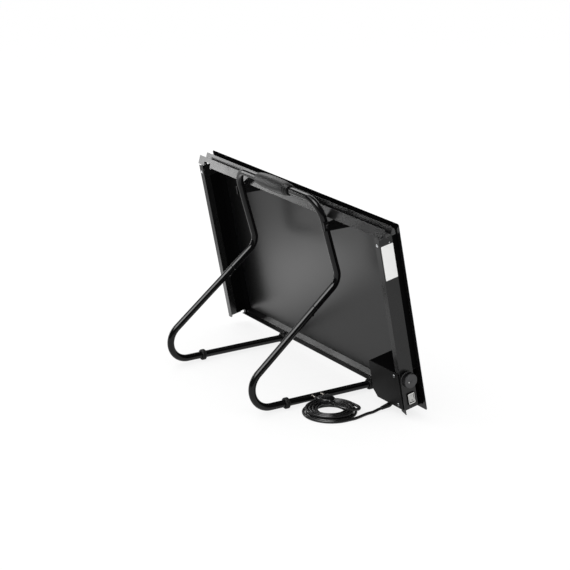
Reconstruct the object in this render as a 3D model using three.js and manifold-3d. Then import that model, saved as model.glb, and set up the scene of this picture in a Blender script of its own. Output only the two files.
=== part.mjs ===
// Free-standing infrared panel heater, seen from behind: a flat radiant panel leaning back in a tube stand,
// with a thermostat knob and a rocker switch on its right-hand side and a coiled mains cord on the floor.
// Millimetres, +Z up, +Y to the rear. Inside the panel group, x runs along the panel, y is its rear normal
// and z runs up its face from the lower edge of the front pan.
import * as THREE from "three";
import { mergeVertices } from "three/addons/utils/BufferGeometryUtils.js";
import Module from "manifold-3d";

const wasm = await Module();
wasm.setup();

// Clearances shared by the whole object.
const seatGap = 0.3;
const overrun = 2;

// Front pan and what lies in it.
const panelWidth = 600;
const panelHeight = 344;
const panelTilt = THREE.MathUtils.degToRad(11.25);
const panelLift = 10.1;
const panSheet = 1.2;
const panDepth = 15;
const panCorner = 3;
const rimWidth = 8;
const bevelRun = 14;
const elementThickness = 0.8;
const elementMargin = 6;
const insulationThickness = 3.8;

// Rear tray and its flanges.
const traySheet = 1;
const trayInset = 1.3;
const trayFlangeStart = -0.9;
const trayHem = 2;
const sideFlangeDepth = 20;
const bottomFlangeDepth = 10;
const sideFlangeEnd = 14;

// Side rails that carry the louvres and the controls.
const railSheet = 1.2;
const railFront = 10.6;
const railRear = 37.3;
const railBottom = 12.2;
const railTop = 332;
const railLip = 12;
const lipCorner = 5;
const tabInnerDrop = 4.8;
const tabOuterDrop = 8.5;

// Louvre blades along the top.
const bladeSheet = 1;
const middleTip = { n: 12, v: 344 };
const middleRoot = { n: 18, v: 333 };
const rearTip = { n: 27.5, v: 344 };
const rearRoot = { n: 34.6, v: 329.5 };
const bladeFoot = 5;
const leftReliefInset = 20;
const leftReliefWidth = 22;
const leftReliefRise = 7;
const rightReliefWidth = 14;
const rightReliefRise = 5;
const reliefCorner = 2.5;
const earLength = 8;
const earSheet = 1.2;
const bracketHeight = 18.5;
const bracketDrop = 9.5;
const bracketFront = 6;
const bracketArm = 2.4;
const stemGap = 3;
const slotDepth = 7;
const middleSlotHalf = 4.8;
const rearSlotHalf = 4;
const rivetDrop = 16;
const cheekRivetN = 16.5;

// Fasteners.
const screwHead = { radius: 3.1, height: 1.9, shank: 1.5, length: 7 };
const boltHead = { radius: 4.2, height: 2.4, shank: 2, length: 10 };
const rivetHead = { radius: 2.8, height: 1.1, shank: 1.5, length: 3.4 };

// Electrical box in the lower right-hand corner.
const boxWidth = 87;
const boxTop = 80;
const boxBottom = 12.2;
const boxChamfer = { run: 10, rise: 12 };
const boxSheet = 1.2;
const boxDepth = 37.4;
const coverSheet = 1.2;
const coverInset = 3;
const coverOverhang = 1;
const coverScrewInset = 15;
const coverScrewUpper = 6;
const coverScrewLower = 7;
const tabWidth = 8;
const flangeNotchRise = 6;

// Thermostat and its knob.
const knobV = 68;
const knobN = 25;
const knobRadius = 14;
const knobHeight = 12;
const knobLift = 1.2;
const knobRecess = { radius: 8.4, depth: 2.4 };
const pointer = { width: 1.6, length: 7, depth: 0.8 };
const spindleRadius = 3;
const spindleGrip = 6.4;
const spindleRoot = 8;
const bushingRadius = 4;
const nutRadius = 6.6;
const nutHeight = 2;
const thermostatSize = { depth: 16, width: 21, above: 3.4, below: 16 };

// Rocker switch.
const switchV = 30.5;
const switchN = 22.5;
const bezel = { height: 21, width: 15, thickness: 1.8 };
const switchBody = { height: 18.8, width: 12.6, depth: 17 };
const rockerWell = { height: 15.6, width: 10.4, depth: 10.5 };
const rockerHalf = 6.4;
const rockerEnd = 5.4;
const rockerValley = 4.4;
const rockerKeel = { half: 3.2, drop: 2.6 };
const rockerWidth = 9.4;
const rockerTilt = THREE.MathUtils.degToRad(12);
const pivotDepth = 1.5;
const pivotRadius = 1;
const pivotReach = 0.7;

// Wiring inside the box.
const blockInset = 33;
const blockRise = 25;
const blockSize = { length: 30, height: 14, width: 14, step: 4, shoulder: 5 };
const blockWell = { radius: 2.1, depth: 5 };
const cutoutInset = 24;
const cutoutRise = 52;
const cutoutSize = { radius: 8, height: 7, rim: 1, cap: 5 };
const wireRadius = 1.3;
const wireBend = 4;
const wireHole = 2.1;
const wireInset = 10;
const neutralRise = 34;
const wireLow = 16;
const wireHigh = 22;

// Stand of bent tube.
const tubeRadius = 6.35;
const tubeWall = 1.2;
const ringRadius = 9.5;
const ringWidth = 9;
const ringCrown = 1.6;
const rubberSpread = 0.4;
const hoopHalf = 135.5;
const legSplay = 8;
const hoopTopY = 113;
const hoopTopZ = 353.5;
const kneeY = 71;
const kneeZ = 210.1;
const legSlope = 0.829;
const hoopBend = 34;
const kneeBend = 28;
const heelBend = 35.5;
const spliceDrop = 66;
const insertLength = 44;
const insertRadius = 4.6;
const rearRingY = 183;
const footFront = 2.4;
const footWall = 1.6;
const footLength = 11.5;
const footCrown = 1.4;
const footBoltN = 5.5;

// Hand grip on the top bar.
const gripLength = 104;
const gripMiddle = 6.5;
const gripRadius = 13;
const gripEnd = 8.6;
const gripGroove = { width: 2.2, depth: 1, pitch: 5 };
const grooveCount = 2;

// Upper brackets between the stand and the panel.
const gussetSheet = 2;
const gussetDrop = 35.8;
const gussetHeight = 25;
const gussetTipHeight = 15;
const gussetBoltDrop = 7.5;
const gussetNose = 7;
const gussetFoot = 12;

// Mains cord, its coil and plug.
const cordRadius = 2.6;
const cordSides = 8;
const coilSides = 6;
const loopSteps = 24;
const floorGap = 0.1;
const coilCentre = { x: -202.4, y: 131 };
const coilOuter = 48.2;
const coilPitch = 5.8;
const layerRise = 5.7;
const lowerTurns = 4;
const climbTurns = 0.5;
const upperTurns = 3.25;
const runBends = [
  { shift: -1.5, y: 70 },
  { shift: -3, y: 84 },
];
const runLead = 14;
const tailBends = [
  { x: -13.6, y: -45, rise: 0.3 },
  { x: -24.7, y: -43, rise: 0.8 },
  { x: -33.2, y: -35.6, rise: 2.4 },
  { x: -36.7, y: -24.8, rise: 5 },
  { x: -34.1, y: -13.8, rise: 7.2 },
  { x: -26.3, y: -5.7, rise: 8.8 },
  { x: -15.5, y: -2.7, rise: 9.65 },
];
const plugPlace = { x: -8, y: -2.7 };
const plugLead = 5;
const plugBody = { length: 36, halfWidth: 14, thickness: 13.7, corner: 4 };
const plugNeck = { length: 10, tip: 3.4, radius: 4.4 };
const plugPin = { radius: 2, length: 19, spacing: 19 };
const glandInset = 37;
const glandN = 30;
const glandRoot = 5.4;
const glandTip = 3.3;
const glandSides = 12;
const glandFlange = { radius: 7.5, height: 2.4 };

// Derived places used by several pieces.
const halfWidth = panelWidth / 2;
const halfHeight = panelHeight / 2;
const trayHalfWidth = halfWidth - rimWidth - trayInset;
const trayHalfHeight = halfHeight - rimWidth - trayInset;
const elementFront = -panDepth + panSheet + seatGap;
const insulationFront = elementFront + elementThickness + seatGap;
const trayFront = insulationFront + insulationThickness + seatGap;
const trayRear = trayFront + traySheet;
const railInner = trayHalfWidth + seatGap;
const railOuter = railInner + railSheet;
const coverFront = boxDepth + seatGap;
const knobFoot = railOuter + knobLift;
const knobFace = knobFoot + knobHeight;
const railZ = ringRadius;
const railHalf = hoopHalf + legSplay;

const leftReliefEnd = halfWidth - leftReliefInset;
const bladeReliefs = [
  { from: leftReliefEnd - leftReliefWidth, to: leftReliefEnd, rise: leftReliefRise },
  { from: -halfWidth - overrun, to: rightReliefWidth - halfWidth, rise: rightReliefRise },
];
const rivetX = railOuter - railLip / 2;
const rivetV = railTop - rivetDrop;
const bracket = {
  bottom: railTop - bracketDrop - bracketHeight,
  top: railTop - bracketDrop,
  stemFront: (middleRoot.n + rearRoot.n - bladeFoot) / 2 - stemGap / 2,
  stemRear: (middleRoot.n + rearRoot.n - bladeFoot) / 2 + stemGap / 2,
};

const boxLeft = boxWidth - railInner;
const coverEdge = railInner - coverInset;
const coverScrewX = coverScrewInset - railInner;
const coverScrewHeights = { upper: boxTop - coverScrewUpper, lower: boxBottom + coverScrewLower };
const blockPlace = { u: boxLeft - blockInset, v: boxBottom + blockRise };
const cutoutPlace = { u: boxLeft - cutoutInset, v: boxBottom + cutoutRise };
const elementWireLive = { u: boxLeft - wireInset, v: cutoutPlace.v };
const elementWireNeutral = { u: boxLeft - wireInset, v: boxBottom + neutralRise };
const glandX = boxLeft - glandInset;

const panelCos = Math.cos(panelTilt);
const panelSin = Math.sin(panelTilt);

const blackPaint = { color: 0x1b1b1c, roughness: 0.38, metalness: 0.55 };
const panelPaint = { color: 0x2b2b2d, roughness: 0.22, metalness: 0.6 };
const tubePaint = { color: 0x17171a, roughness: 0.3, metalness: 0.6 };
const blackPlastic = { color: 0x151516, roughness: 0.55, metalness: 0 };
const greyPlastic = { color: 0x55565a, roughness: 0.45, metalness: 0 };
const palePlastic = { color: 0xd8d8d4, roughness: 0.4, metalness: 0 };
const rubber = { color: 0x101010, roughness: 0.85, metalness: 0 };
const zinc = { color: 0xb4b6b8, roughness: 0.3, metalness: 0.9 };
const mineralBoard = { color: 0xd9d2c0, roughness: 0.95, metalness: 0 };
const foil = { color: 0xb9b2a4, roughness: 0.4, metalness: 0.8 };
const copperWire = { color: 0x8d4a28, roughness: 0.5, metalness: 0 };
const blueWire = { color: 0x2b4f8f, roughness: 0.5, metalness: 0 };

// A closed geometry as a manifold solid.
function toSolid(geometry) {
  const flat = geometry.index ? geometry.toNonIndexed() : geometry;
  const bare = new THREE.BufferGeometry();
  bare.setAttribute("position", flat.getAttribute("position"));
  const merged = mergeVertices(bare);
  return new wasm.Manifold(
    new wasm.Mesh({
      numProp: 3,
      vertProperties: merged.attributes.position.array,
      triVerts: new Uint32Array(merged.index.array),
    }),
  );
}

function toGeometry(solid) {
  const mesh = solid.getMesh();
  const corners = new Float32Array(mesh.numVert * 3);
  for (let i = 0; i < mesh.numVert; i++) {
    const start = i * mesh.numProp;
    corners.set(mesh.vertProperties.subarray(start, start + 3), i * 3);
  }
  const indexed = new THREE.BufferGeometry();
  indexed.setAttribute("position", new THREE.BufferAttribute(corners, 3));
  indexed.setIndex(new THREE.BufferAttribute(mesh.triVerts, 1));
  const flat = indexed.toNonIndexed();
  flat.computeVertexNormals();
  return flat;
}

function join(...pieces) {
  return toGeometry(pieces.map(toSolid).reduce((a, b) => a.add(b)));
}

function cut(piece, ...tools) {
  return toGeometry(tools.map(toSolid).reduce((a, b) => a.subtract(b), toSolid(piece)));
}

function within(piece, room) {
  return toGeometry(toSolid(piece).intersect(toSolid(room)));
}

// A polygon given as [across, up] pairs.
function outline(pairs) {
  return new THREE.Shape(pairs.map(([a, b]) => new THREE.Vector2(a, b)));
}

function rectangle(a0, b0, a1, b1) {
  return outline([
    [a0, b0],
    [a1, b0],
    [a1, b1],
    [a0, b1],
  ]);
}

function roundedRectangle(a0, b0, a1, b1, r) {
  const shape = new THREE.Shape();
  shape.moveTo(a0 + r, b0);
  shape.lineTo(a1 - r, b0);
  shape.absarc(a1 - r, b0 + r, r, -Math.PI / 2, 0);
  shape.lineTo(a1, b1 - r);
  shape.absarc(a1 - r, b1 - r, r, 0, Math.PI / 2);
  shape.lineTo(a0 + r, b1);
  shape.absarc(a0 + r, b1 - r, r, Math.PI / 2, Math.PI);
  shape.lineTo(a0, b0 + r);
  shape.absarc(a0 + r, b0 + r, r, Math.PI, 1.5 * Math.PI);
  return shape;
}

// The section of a folded sheet: a polyline and its copy offset to the left by the sheet, with mitred folds.
function foldedStrip(pairs, sheet) {
  const line = pairs.map(([a, b]) => new THREE.Vector2(a, b));
  const offset = line.map((corner, i) => {
    const before = i > 0 ? corner.clone().sub(line[i - 1]).normalize() : null;
    const after = i < line.length - 1 ? line[i + 1].clone().sub(corner).normalize() : null;
    const first = before || after;
    const second = after || before;
    const along = first.clone().add(second).normalize();
    const reach = sheet / first.dot(along);
    return corner.clone().add(new THREE.Vector2(-along.y, along.x).multiplyScalar(reach));
  });
  return new THREE.Shape([...line, ...offset.reverse()]);
}

function prism(shape, length, steps = 6) {
  return new THREE.ExtrudeGeometry(shape, { depth: length, bevelEnabled: false, curveSegments: steps });
}

const axisX = new THREE.Vector3(1, 0, 0);
const axisY = new THREE.Vector3(0, 1, 0);
const axisZ = new THREE.Vector3(0, 0, 1);

// Prisms along each axis; their sections are drawn as (y, z), (x, z) and (x, y).
function prismX(shape, from, to) {
  const turn = new THREE.Matrix4().makeBasis(axisY, axisZ, axisX);
  return prism(shape, to - from).applyMatrix4(turn).translate(from, 0, 0);
}

function prismY(shape, from, to) {
  const turn = new THREE.Matrix4().makeBasis(axisX, axisZ, axisY.clone().negate());
  return prism(shape, to - from).applyMatrix4(turn).translate(0, to, 0);
}

function prismZ(shape, from, to) {
  return prism(shape, to - from).translate(0, 0, from);
}

function block(x0, x1, y0, y1, z0, z1) {
  return prismZ(rectangle(x0, y0, x1, y1), z0, z1);
}

// A solid of revolution about +Y from [radius, height] pairs, open on the axis or closed on itself.
function revolve(pairs, segments) {
  let area = 0;
  pairs.forEach(([r, h], i) => {
    const [nextR, nextH] = pairs[(i + 1) % pairs.length];
    area += r * nextH - nextR * h;
  });
  const ordered = area > 0 ? pairs : [...pairs].reverse();
  return new THREE.LatheGeometry(
    ordered.map(([r, h]) => new THREE.Vector2(r, h)),
    segments,
  );
}

function closedRing(pairs) {
  return [...pairs, pairs[0]];
}

function rod(radius, length, segments = 16) {
  return new THREE.CylinderGeometry(radius, radius, length, segments).translate(0, length / 2, 0);
}

// Turns a piece built along +Y to point along a direction from a start point.
function aim(geometry, start, direction) {
  const turn = new THREE.Quaternion().setFromUnitVectors(axisY, direction.clone().normalize());
  return geometry.applyQuaternion(turn).translate(start.x, start.y, start.z);
}

// Joins rings of equally many points into one closed body with flat ends.
function loft(rings) {
  const count = rings[0].length;
  const corners = rings.flat();
  const faces = [];
  for (let i = 0; i < rings.length - 1; i++) {
    for (let j = 0; j < count; j++) {
      const a = i * count + j;
      const b = i * count + ((j + 1) % count);
      faces.push(a, b, b + count, a, b + count, a + count);
    }
  }
  const last = (rings.length - 1) * count;
  for (let j = 1; j < count - 1; j++) {
    faces.push(0, j + 1, j, last, last + j, last + j + 1);
  }
  const geometry = new THREE.BufferGeometry().setFromPoints(corners);
  geometry.setIndex(faces);
  const flat = geometry.toNonIndexed();
  flat.computeVertexNormals();
  return flat;
}

// A rounded rectangle as a ring in the plane of the panel, centred on it, at one depth.
function panelRing(half, rise, depth, corner) {
  const shape = roundedRectangle(-half, halfHeight - rise, half, halfHeight + rise, corner);
  return shape
    .getPoints(3)
    .filter((p, i, all) => i === 0 || p.distanceTo(all[i - 1]) > seatGap / 10)
    .filter((p, i, all) => i === 0 || p.distanceTo(all[0]) > seatGap / 10)
    .map((p) => new THREE.Vector3(p.x, depth, p.y))
    .reverse();
}

// A path of straights and arcs through hand-placed corners; its stations fall only where it bends.
class BentPath extends THREE.Curve {
  constructor(corners, radii, stepAngle) {
    super();
    this.stations = [];
    const put = (point, tangent) => this.stations.push({ point, tangent });
    const heading = (i) => corners[i + 1].clone().sub(corners[i]).normalize();
    put(corners[0].clone(), heading(0));
    for (let i = 1; i < corners.length - 1; i++) {
      const before = heading(i - 1);
      const after = heading(i);
      const turn = before.angleTo(after);
      const reach = radii[i - 1] * Math.tan(turn / 2);
      const start = corners[i].clone().addScaledVector(before, -reach);
      const normal = before.clone().cross(after).normalize();
      const inward = normal.clone().cross(before);
      const steps = Math.max(2, Math.ceil(turn / stepAngle));
      for (let k = 0; k <= steps; k++) {
        const angle = (turn * k) / steps;
        const point = start
          .clone()
          .addScaledVector(before, radii[i - 1] * Math.sin(angle))
          .addScaledVector(inward, radii[i - 1] * (1 - Math.cos(angle)));
        put(point, before.clone().applyAxisAngle(normal, angle));
      }
    }
    put(corners.at(-1).clone(), heading(corners.length - 2));
  }

  station(u) {
    return this.stations[Math.round(u * (this.stations.length - 1))];
  }

  getPointAt(u, target = new THREE.Vector3()) {
    return target.copy(this.station(u).point);
  }

  getTangentAt(u, target = new THREE.Vector3()) {
    return target.copy(this.station(u).tangent);
  }

  get steps() {
    return this.stations.length - 1;
  }
}

function circle(radius, sides) {
  const points = [];
  for (let i = 0; i < sides; i++) {
    const angle = (2 * Math.PI * i) / sides;
    points.push(new THREE.Vector2(radius * Math.cos(angle), radius * Math.sin(angle)));
  }
  return points;
}

function sweep(path, radius, sides, bore = 0, boreSides = sides) {
  const section = new THREE.Shape(circle(radius, sides));
  if (bore > 0) section.holes.push(new THREE.Path(circle(bore, boreSides)));
  return new THREE.ExtrudeGeometry(section, { steps: path.steps, extrudePath: path });
}

// A round section that grows or shrinks along a path.
function taperedSweep(path, radiusAt, sides) {
  const frames = path.computeFrenetFrames(path.steps, false);
  const rings = path.stations.map(({ point }, i) => {
    const radius = radiusAt(i / path.steps);
    return circle(radius, sides).map((p) =>
      point.clone().addScaledVector(frames.normals[i], p.x).addScaledVector(frames.binormals[i], p.y),
    );
  });
  return loft(rings);
}

// A pan-head screw or rivet built along +Y: the head's top is at the head height, the shank goes down.
function fastener({ radius, height, shank, length }, segments = 12) {
  const dome = [];
  const domeSteps = 3;
  for (let i = 0; i <= domeSteps; i++) {
    const angle = (i / domeSteps) * (Math.PI / 2);
    dome.push([radius * Math.cos(angle), height * Math.sin(angle)]);
  }
  dome[domeSteps][0] = 0;
  return revolve([[0, -length], [shank, -length], [shank, 0], ...dome], segments);
}

const root = new THREE.Group();
const panel = new THREE.Group();
panel.rotation.x = -panelTilt;
panel.position.z = panelLift;
root.add(panel);

function add(group, name, geometry, finish) {
  const mesh = new THREE.Mesh(geometry, new THREE.MeshStandardMaterial(finish));
  mesh.name = name;
  group.add(mesh);
  return mesh;
}

// A point of the panel in the frame of the stand.
function panelPoint(u, n, v) {
  return new THREE.Vector3(u, v * panelSin + n * panelCos, panelLift + v * panelCos - n * panelSin);
}

// A point of the stand in the frame of the panel.
function panelLocal(point) {
  const y = point.y;
  const z = point.z - panelLift;
  return new THREE.Vector3(point.x, y * panelCos - z * panelSin, y * panelSin + z * panelCos);
}

function panelDirection(u, n, v) {
  return new THREE.Vector3(u, v * panelSin + n * panelCos, v * panelCos - n * panelSin);
}

// Front pan: a flat radiant face on a bevelled border, with a flat rim.
function frontPanel() {
  const field = rimWidth + bevelRun;
  return loft([
    panelRing(halfWidth - field, halfHeight - field, -panDepth, panCorner),
    panelRing(halfWidth - rimWidth, halfHeight - rimWidth, -panSheet, panCorner),
    panelRing(halfWidth, halfHeight, -panSheet, panCorner),
    panelRing(halfWidth, halfHeight, 0, panCorner),
    panelRing(halfWidth - rimWidth, halfHeight - rimWidth, 0, panCorner),
    panelRing(halfWidth - field, halfHeight - field, -panDepth + panSheet, panCorner),
  ]);
}

const elementHalfWidth = halfWidth - rimWidth - bevelRun - elementMargin;
const elementHalfHeight = halfHeight - rimWidth - bevelRun - elementMargin;

function sheetInPan(front, thickness) {
  const sheet = roundedRectangle(
    -elementHalfWidth,
    halfHeight - elementHalfHeight,
    elementHalfWidth,
    halfHeight + elementHalfHeight,
    panCorner,
  );
  return prismY(sheet, front, front + thickness);
}

function wireHoles(from, to, radius) {
  return [elementWireLive, elementWireNeutral].map(({ u, v }) =>
    aim(rod(radius, to - from, 8), new THREE.Vector3(u, from, v), axisY),
  );
}

// The tray's border runs parallel to the pan's bevel, one clearance inside it.
const bevelShare = (depth) => (bevelRun * depth) / (panDepth - panSheet);

const plateHalfWidth = trayHalfWidth - bevelShare(trayFlangeStart - trayFront);
const plateHalfHeight = trayHalfHeight - bevelShare(trayFlangeStart - trayFront);

// The free room behind the tray, up to a depth beyond its hem.
function trayRoom(depth) {
  const hemHalfWidth = trayHalfWidth - traySheet - seatGap;
  const hemHalfHeight = trayHalfHeight - traySheet - seatGap;
  const hemFront = trayFlangeStart + traySheet;
  const drop = bevelShare(hemFront - trayRear - seatGap);
  const behindHem = block(
    -halfWidth,
    halfWidth,
    trayHem + 2 * seatGap,
    depth,
    halfHeight - hemHalfHeight,
    halfHeight + hemHalfHeight,
  );
  const dish = loft([
    panelRing(hemHalfWidth - drop, hemHalfHeight - drop, trayRear + seatGap, panCorner),
    panelRing(hemHalfWidth, hemHalfHeight, hemFront, panCorner),
    panelRing(hemHalfWidth, hemHalfHeight, trayHem + 3 * seatGap, panCorner),
  ]);
  return join(dish, behindHem);
}

function backTray() {
  const inner = traySheet;
  const dish = loft([
    panelRing(plateHalfWidth, plateHalfHeight, trayFront, panCorner),
    panelRing(trayHalfWidth, trayHalfHeight, trayFlangeStart, panCorner),
    panelRing(trayHalfWidth, trayHalfHeight, trayHem, panCorner),
    panelRing(trayHalfWidth - inner, trayHalfHeight - inner, trayHem, panCorner),
    panelRing(trayHalfWidth - inner, trayHalfHeight - inner, trayFlangeStart + inner / 2, panCorner),
    panelRing(plateHalfWidth - inner / 2, plateHalfHeight - inner / 2, trayRear, panCorner),
  ]);
  const flangeFoot = trayHem - traySheet;
  const sideBottom = sideFlangeEnd;
  const sideTop = railTop - sideFlangeEnd / 2;
  const sides = [-1, 1].map((side) => {
    const edges = [side * trayHalfWidth, side * (trayHalfWidth - traySheet)].sort((a, b) => a - b);
    return block(edges[0], edges[1], flangeFoot, sideFlangeDepth, sideBottom, sideTop);
  });
  const bottomEdge = halfHeight - trayHalfHeight;
  const bottomHalf = trayHalfWidth - panCorner;
  const bottom = block(
    -bottomHalf,
    bottomHalf,
    flangeFoot,
    bottomFlangeDepth,
    bottomEdge,
    bottomEdge + traySheet,
  );
  const notch = block(
    -trayHalfWidth - overrun,
    -trayHalfWidth + traySheet + overrun,
    trayHem + seatGap,
    sideFlangeDepth + overrun,
    boxBottom - overrun,
    boxTop + flangeNotchRise,
  );
  const footHoles = [-1, 1].map((side) =>
    aim(
      rod(boltHead.shank + seatGap, overrun * 3, 12),
      new THREE.Vector3(side * railHalf, footBoltN, bottomEdge - overrun),
      axisZ,
    ),
  );
  return cut(
    join(dish, ...sides, bottom),
    notch,
    ...wireHoles(trayFront - overrun, trayRear + overrun, wireHole),
    ...footHoles,
    cheekRivetHole(1),
    cheekRivetHole(-1),
  );
}

// Side rail: a wall with an inward lip along its rear edge.
function sideRail(side) {
  const wall = side * railOuter;
  const strip = foldedStrip(
    side > 0
      ? [
          [wall, railFront],
          [wall, railRear],
          [wall - railLip, railRear],
        ]
      : [
          [wall + railLip, railRear],
          [wall, railRear],
          [wall, railFront],
        ],
    railSheet,
  );
  return prismZ(strip, railBottom, railTop);
}

// Room for the rear blade over the top end of a rail.
function bladeStep() {
  return block(
    -halfWidth,
    halfWidth,
    rearRoot.n - bladeFoot - seatGap,
    railRear + overrun,
    rearRoot.v - seatGap,
    railTop + overrun,
  );
}

function lipCornerCutter() {
  const inner = railOuter - railLip;
  const shape = new THREE.Shape();
  shape.moveTo(inner - overrun, railBottom - overrun);
  shape.lineTo(inner + lipCorner, railBottom - overrun);
  shape.lineTo(inner + lipCorner, railBottom);
  shape.absarc(inner + lipCorner, railBottom + lipCorner, lipCorner, -Math.PI / 2, Math.PI, true);
  shape.lineTo(inner - overrun, railBottom + lipCorner);
  return prismY(shape, railRear - railSheet - overrun / 4, railRear + overrun);
}

function rivetHole(side) {
  return aim(
    rod(rivetHead.shank + seatGap, overrun * 4, 10),
    new THREE.Vector3(side * rivetX, railRear - overrun * 2, rivetV),
    axisY,
  );
}

function leftSideRail() {
  const slots = wallSlotCutters();
  return cut(sideRail(1), bladeStep(), ...slots, lipCornerCutter(), rivetHole(1), cheekRivetHole(1));
}

function rightSideRail() {
  const inner = -railOuter + railLip;
  const tab = prismY(
    outline([
      [-railOuter, railBottom - tabOuterDrop],
      [inner, railBottom - tabInnerDrop],
      [inner, railBottom + overrun],
      [-railOuter, railBottom + overrun],
    ]),
    railRear - railSheet,
    railRear,
  );
  const knobHole = aim(
    rod(bushingRadius + seatGap, overrun * 3, 20),
    new THREE.Vector3(-railInner + overrun, knobN, knobV),
    axisX.clone().negate(),
  );
  const switchHole = block(
    -railOuter - overrun,
    -railInner + overrun,
    switchN - switchBody.width / 2 - seatGap,
    switchN + switchBody.width / 2 + seatGap,
    switchV - switchBody.height / 2 - seatGap,
    switchV + switchBody.height / 2 + seatGap,
  );
  const rail = join(sideRail(-1), tab);
  const slots = wallSlotCutters();
  return cut(rail, bladeStep(), ...slots, knobHole, switchHole, rivetHole(-1), cheekRivetHole(-1));
}

// Louvre blade: a slanted strip with a hem at its tip and a foot turned forward at its root.
function louvreBlade(tip, rootPlace, reliefs = []) {
  const strip = foldedStrip(
    [
      [rootPlace.n - bladeFoot, rootPlace.v],
      [rootPlace.n, rootPlace.v],
      [tip.n, tip.v],
    ],
    bladeSheet,
  );
  const blade = prismX(strip, -halfWidth, halfWidth);
  const low = rootPlace.v - overrun - reliefCorner;
  const cutters = reliefs.map(({ from, to, rise }) => {
    const edges = [from, to].sort((a, b) => a - b);
    const shape = roundedRectangle(edges[0], low, edges[1], rootPlace.v + rise, reliefCorner);
    return prismY(shape, rootPlace.n - bladeFoot - overrun, rootPlace.n + overrun);
  });
  return cut(blade, ...cutters);
}

const cheekOuter = railInner - traySheet - 2 * seatGap;
const cheekInner = cheekOuter - earSheet;

// End bracket of the louvres: a cheek with a stem that carries an arm and an ear under each blade.
function louvreBracket(side) {
  const between = (a, b) => [side * a, side * b].sort((low, high) => low - high);
  const under = (place) => place.v - seatGap;
  const rear = railRear - railSheet - seatGap;
  const cheek = prismX(
    outline([
      [bracketFront, bracket.bottom],
      [rear, bracket.bottom],
      [rear, bracket.top],
      [bracket.stemRear, bracket.top],
      [bracket.stemRear, under(rearRoot) - bracketArm],
      [rearRoot.n - seatGap, under(rearRoot) - bracketArm],
      [rearRoot.n - seatGap, under(rearRoot)],
      [bracket.stemRear, under(rearRoot)],
      [bracket.stemRear, under(middleRoot)],
      [middleRoot.n - bladeFoot, under(middleRoot)],
      [middleRoot.n - bladeFoot, under(middleRoot) - bracketArm],
      [bracket.stemFront, under(middleRoot) - bracketArm],
      [bracket.stemFront, bracket.top],
      [bracketFront, bracket.top],
    ]),
    ...between(cheekInner, cheekOuter),
  );
  const ear = ({ n, v }) => {
    const place = { n: n - bladeFoot, v: v - seatGap - earSheet };
    const [low, high] = between(cheekInner - earLength, cheekInner + earSheet / 2);
    return block(low, high, place.n, n - earSheet, place.v, place.v + earSheet);
  };
  const tabEdges = between(rivetX - railLip / 2, cheekOuter);
  const tab = block(...tabEdges, rear - earSheet, rear, rivetV - railLip / 2, bracket.top);
  return cut(join(cheek, ear(middleRoot), ear(rearRoot), tab), rivetHole(side), cheekRivetHole(side));
}

function cheekRivetHole(side) {
  return aim(
    rod(rivetHead.shank + seatGap, overrun * 4, 10),
    new THREE.Vector3(side * (cheekInner - overrun), cheekRivetN, rivetV),
    new THREE.Vector3(side, 0, 0),
  );
}

// Slots in the top end of a rail, under the ends of the blades.
function wallSlotCutters() {
  return [
    [middleRoot.n, middleSlotHalf],
    [rearRoot.n - rearSlotHalf / 2, rearSlotHalf],
  ].map(([n, half]) => {
    const high = railTop + half + overrun;
    const shape = roundedRectangle(n - half, railTop - slotDepth, n + half, high, half / 2);
    return prismX(shape, -railOuter - overrun, railOuter + overrun);
  });
}

// Electrical box: a bent strip that closes the corner, with a tab for each cover screw.
function boxShell() {
  const bottom = boxBottom + boxSheet;
  const right = -railInner + seatGap;
  const walls = prismY(
    foldedStrip(
      [
        [right, boxTop],
        [boxLeft, boxTop],
        [boxLeft, boxBottom + boxChamfer.rise],
        [boxLeft - boxChamfer.run, boxBottom],
        [right, boxBottom],
      ].reverse(),
      boxSheet,
    ),
    trayRear + seatGap,
    boxDepth,
  );
  const tab = (low, high) =>
    block(coverScrewX - tabWidth / 2, coverScrewX + tabWidth / 2, boxDepth - boxSheet, boxDepth, low, high);
  const upperTab = tab(coverScrewHeights.upper - tabWidth / 2, boxTop - boxSheet / 2);
  const lowerTab = tab(bottom - boxSheet / 2, coverScrewHeights.lower + tabWidth / 2);
  const lipStep = block(
    right - overrun,
    -railOuter + railLip + seatGap,
    railRear - railSheet - seatGap,
    boxDepth + overrun,
    boxBottom - overrun,
    boxTop + overrun,
  );
  const glandHole = aim(
    rod(glandRoot + seatGap, overrun * 3, glandSides),
    new THREE.Vector3(glandX, glandN, boxBottom - overrun),
    axisZ,
  );
  const shell = within(join(walls, upperTab, lowerTab), trayRoom(boxDepth + overrun));
  return cut(shell, lipStep, glandHole, ...coverScrewHoles());
}

function coverScrewHoles() {
  return Object.values(coverScrewHeights).map((v) =>
    aim(
      rod(screwHead.shank + seatGap, overrun * 4, 10),
      new THREE.Vector3(coverScrewX, coverFront - overrun * 2, v),
      axisY,
    ),
  );
}

function boxCover() {
  const left = boxLeft + coverOverhang;
  const plate = prismY(
    outline([
      [-coverEdge, boxBottom],
      [left - boxChamfer.run, boxBottom],
      [left, boxBottom + boxChamfer.rise],
      [left, boxTop - coverOverhang],
      [left - coverOverhang, boxTop],
      [-coverEdge, boxTop],
    ]),
    coverFront,
    coverFront + coverSheet,
  );
  return cut(plate, ...coverScrewHoles());
}

const outward = axisX.clone().negate();

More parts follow.
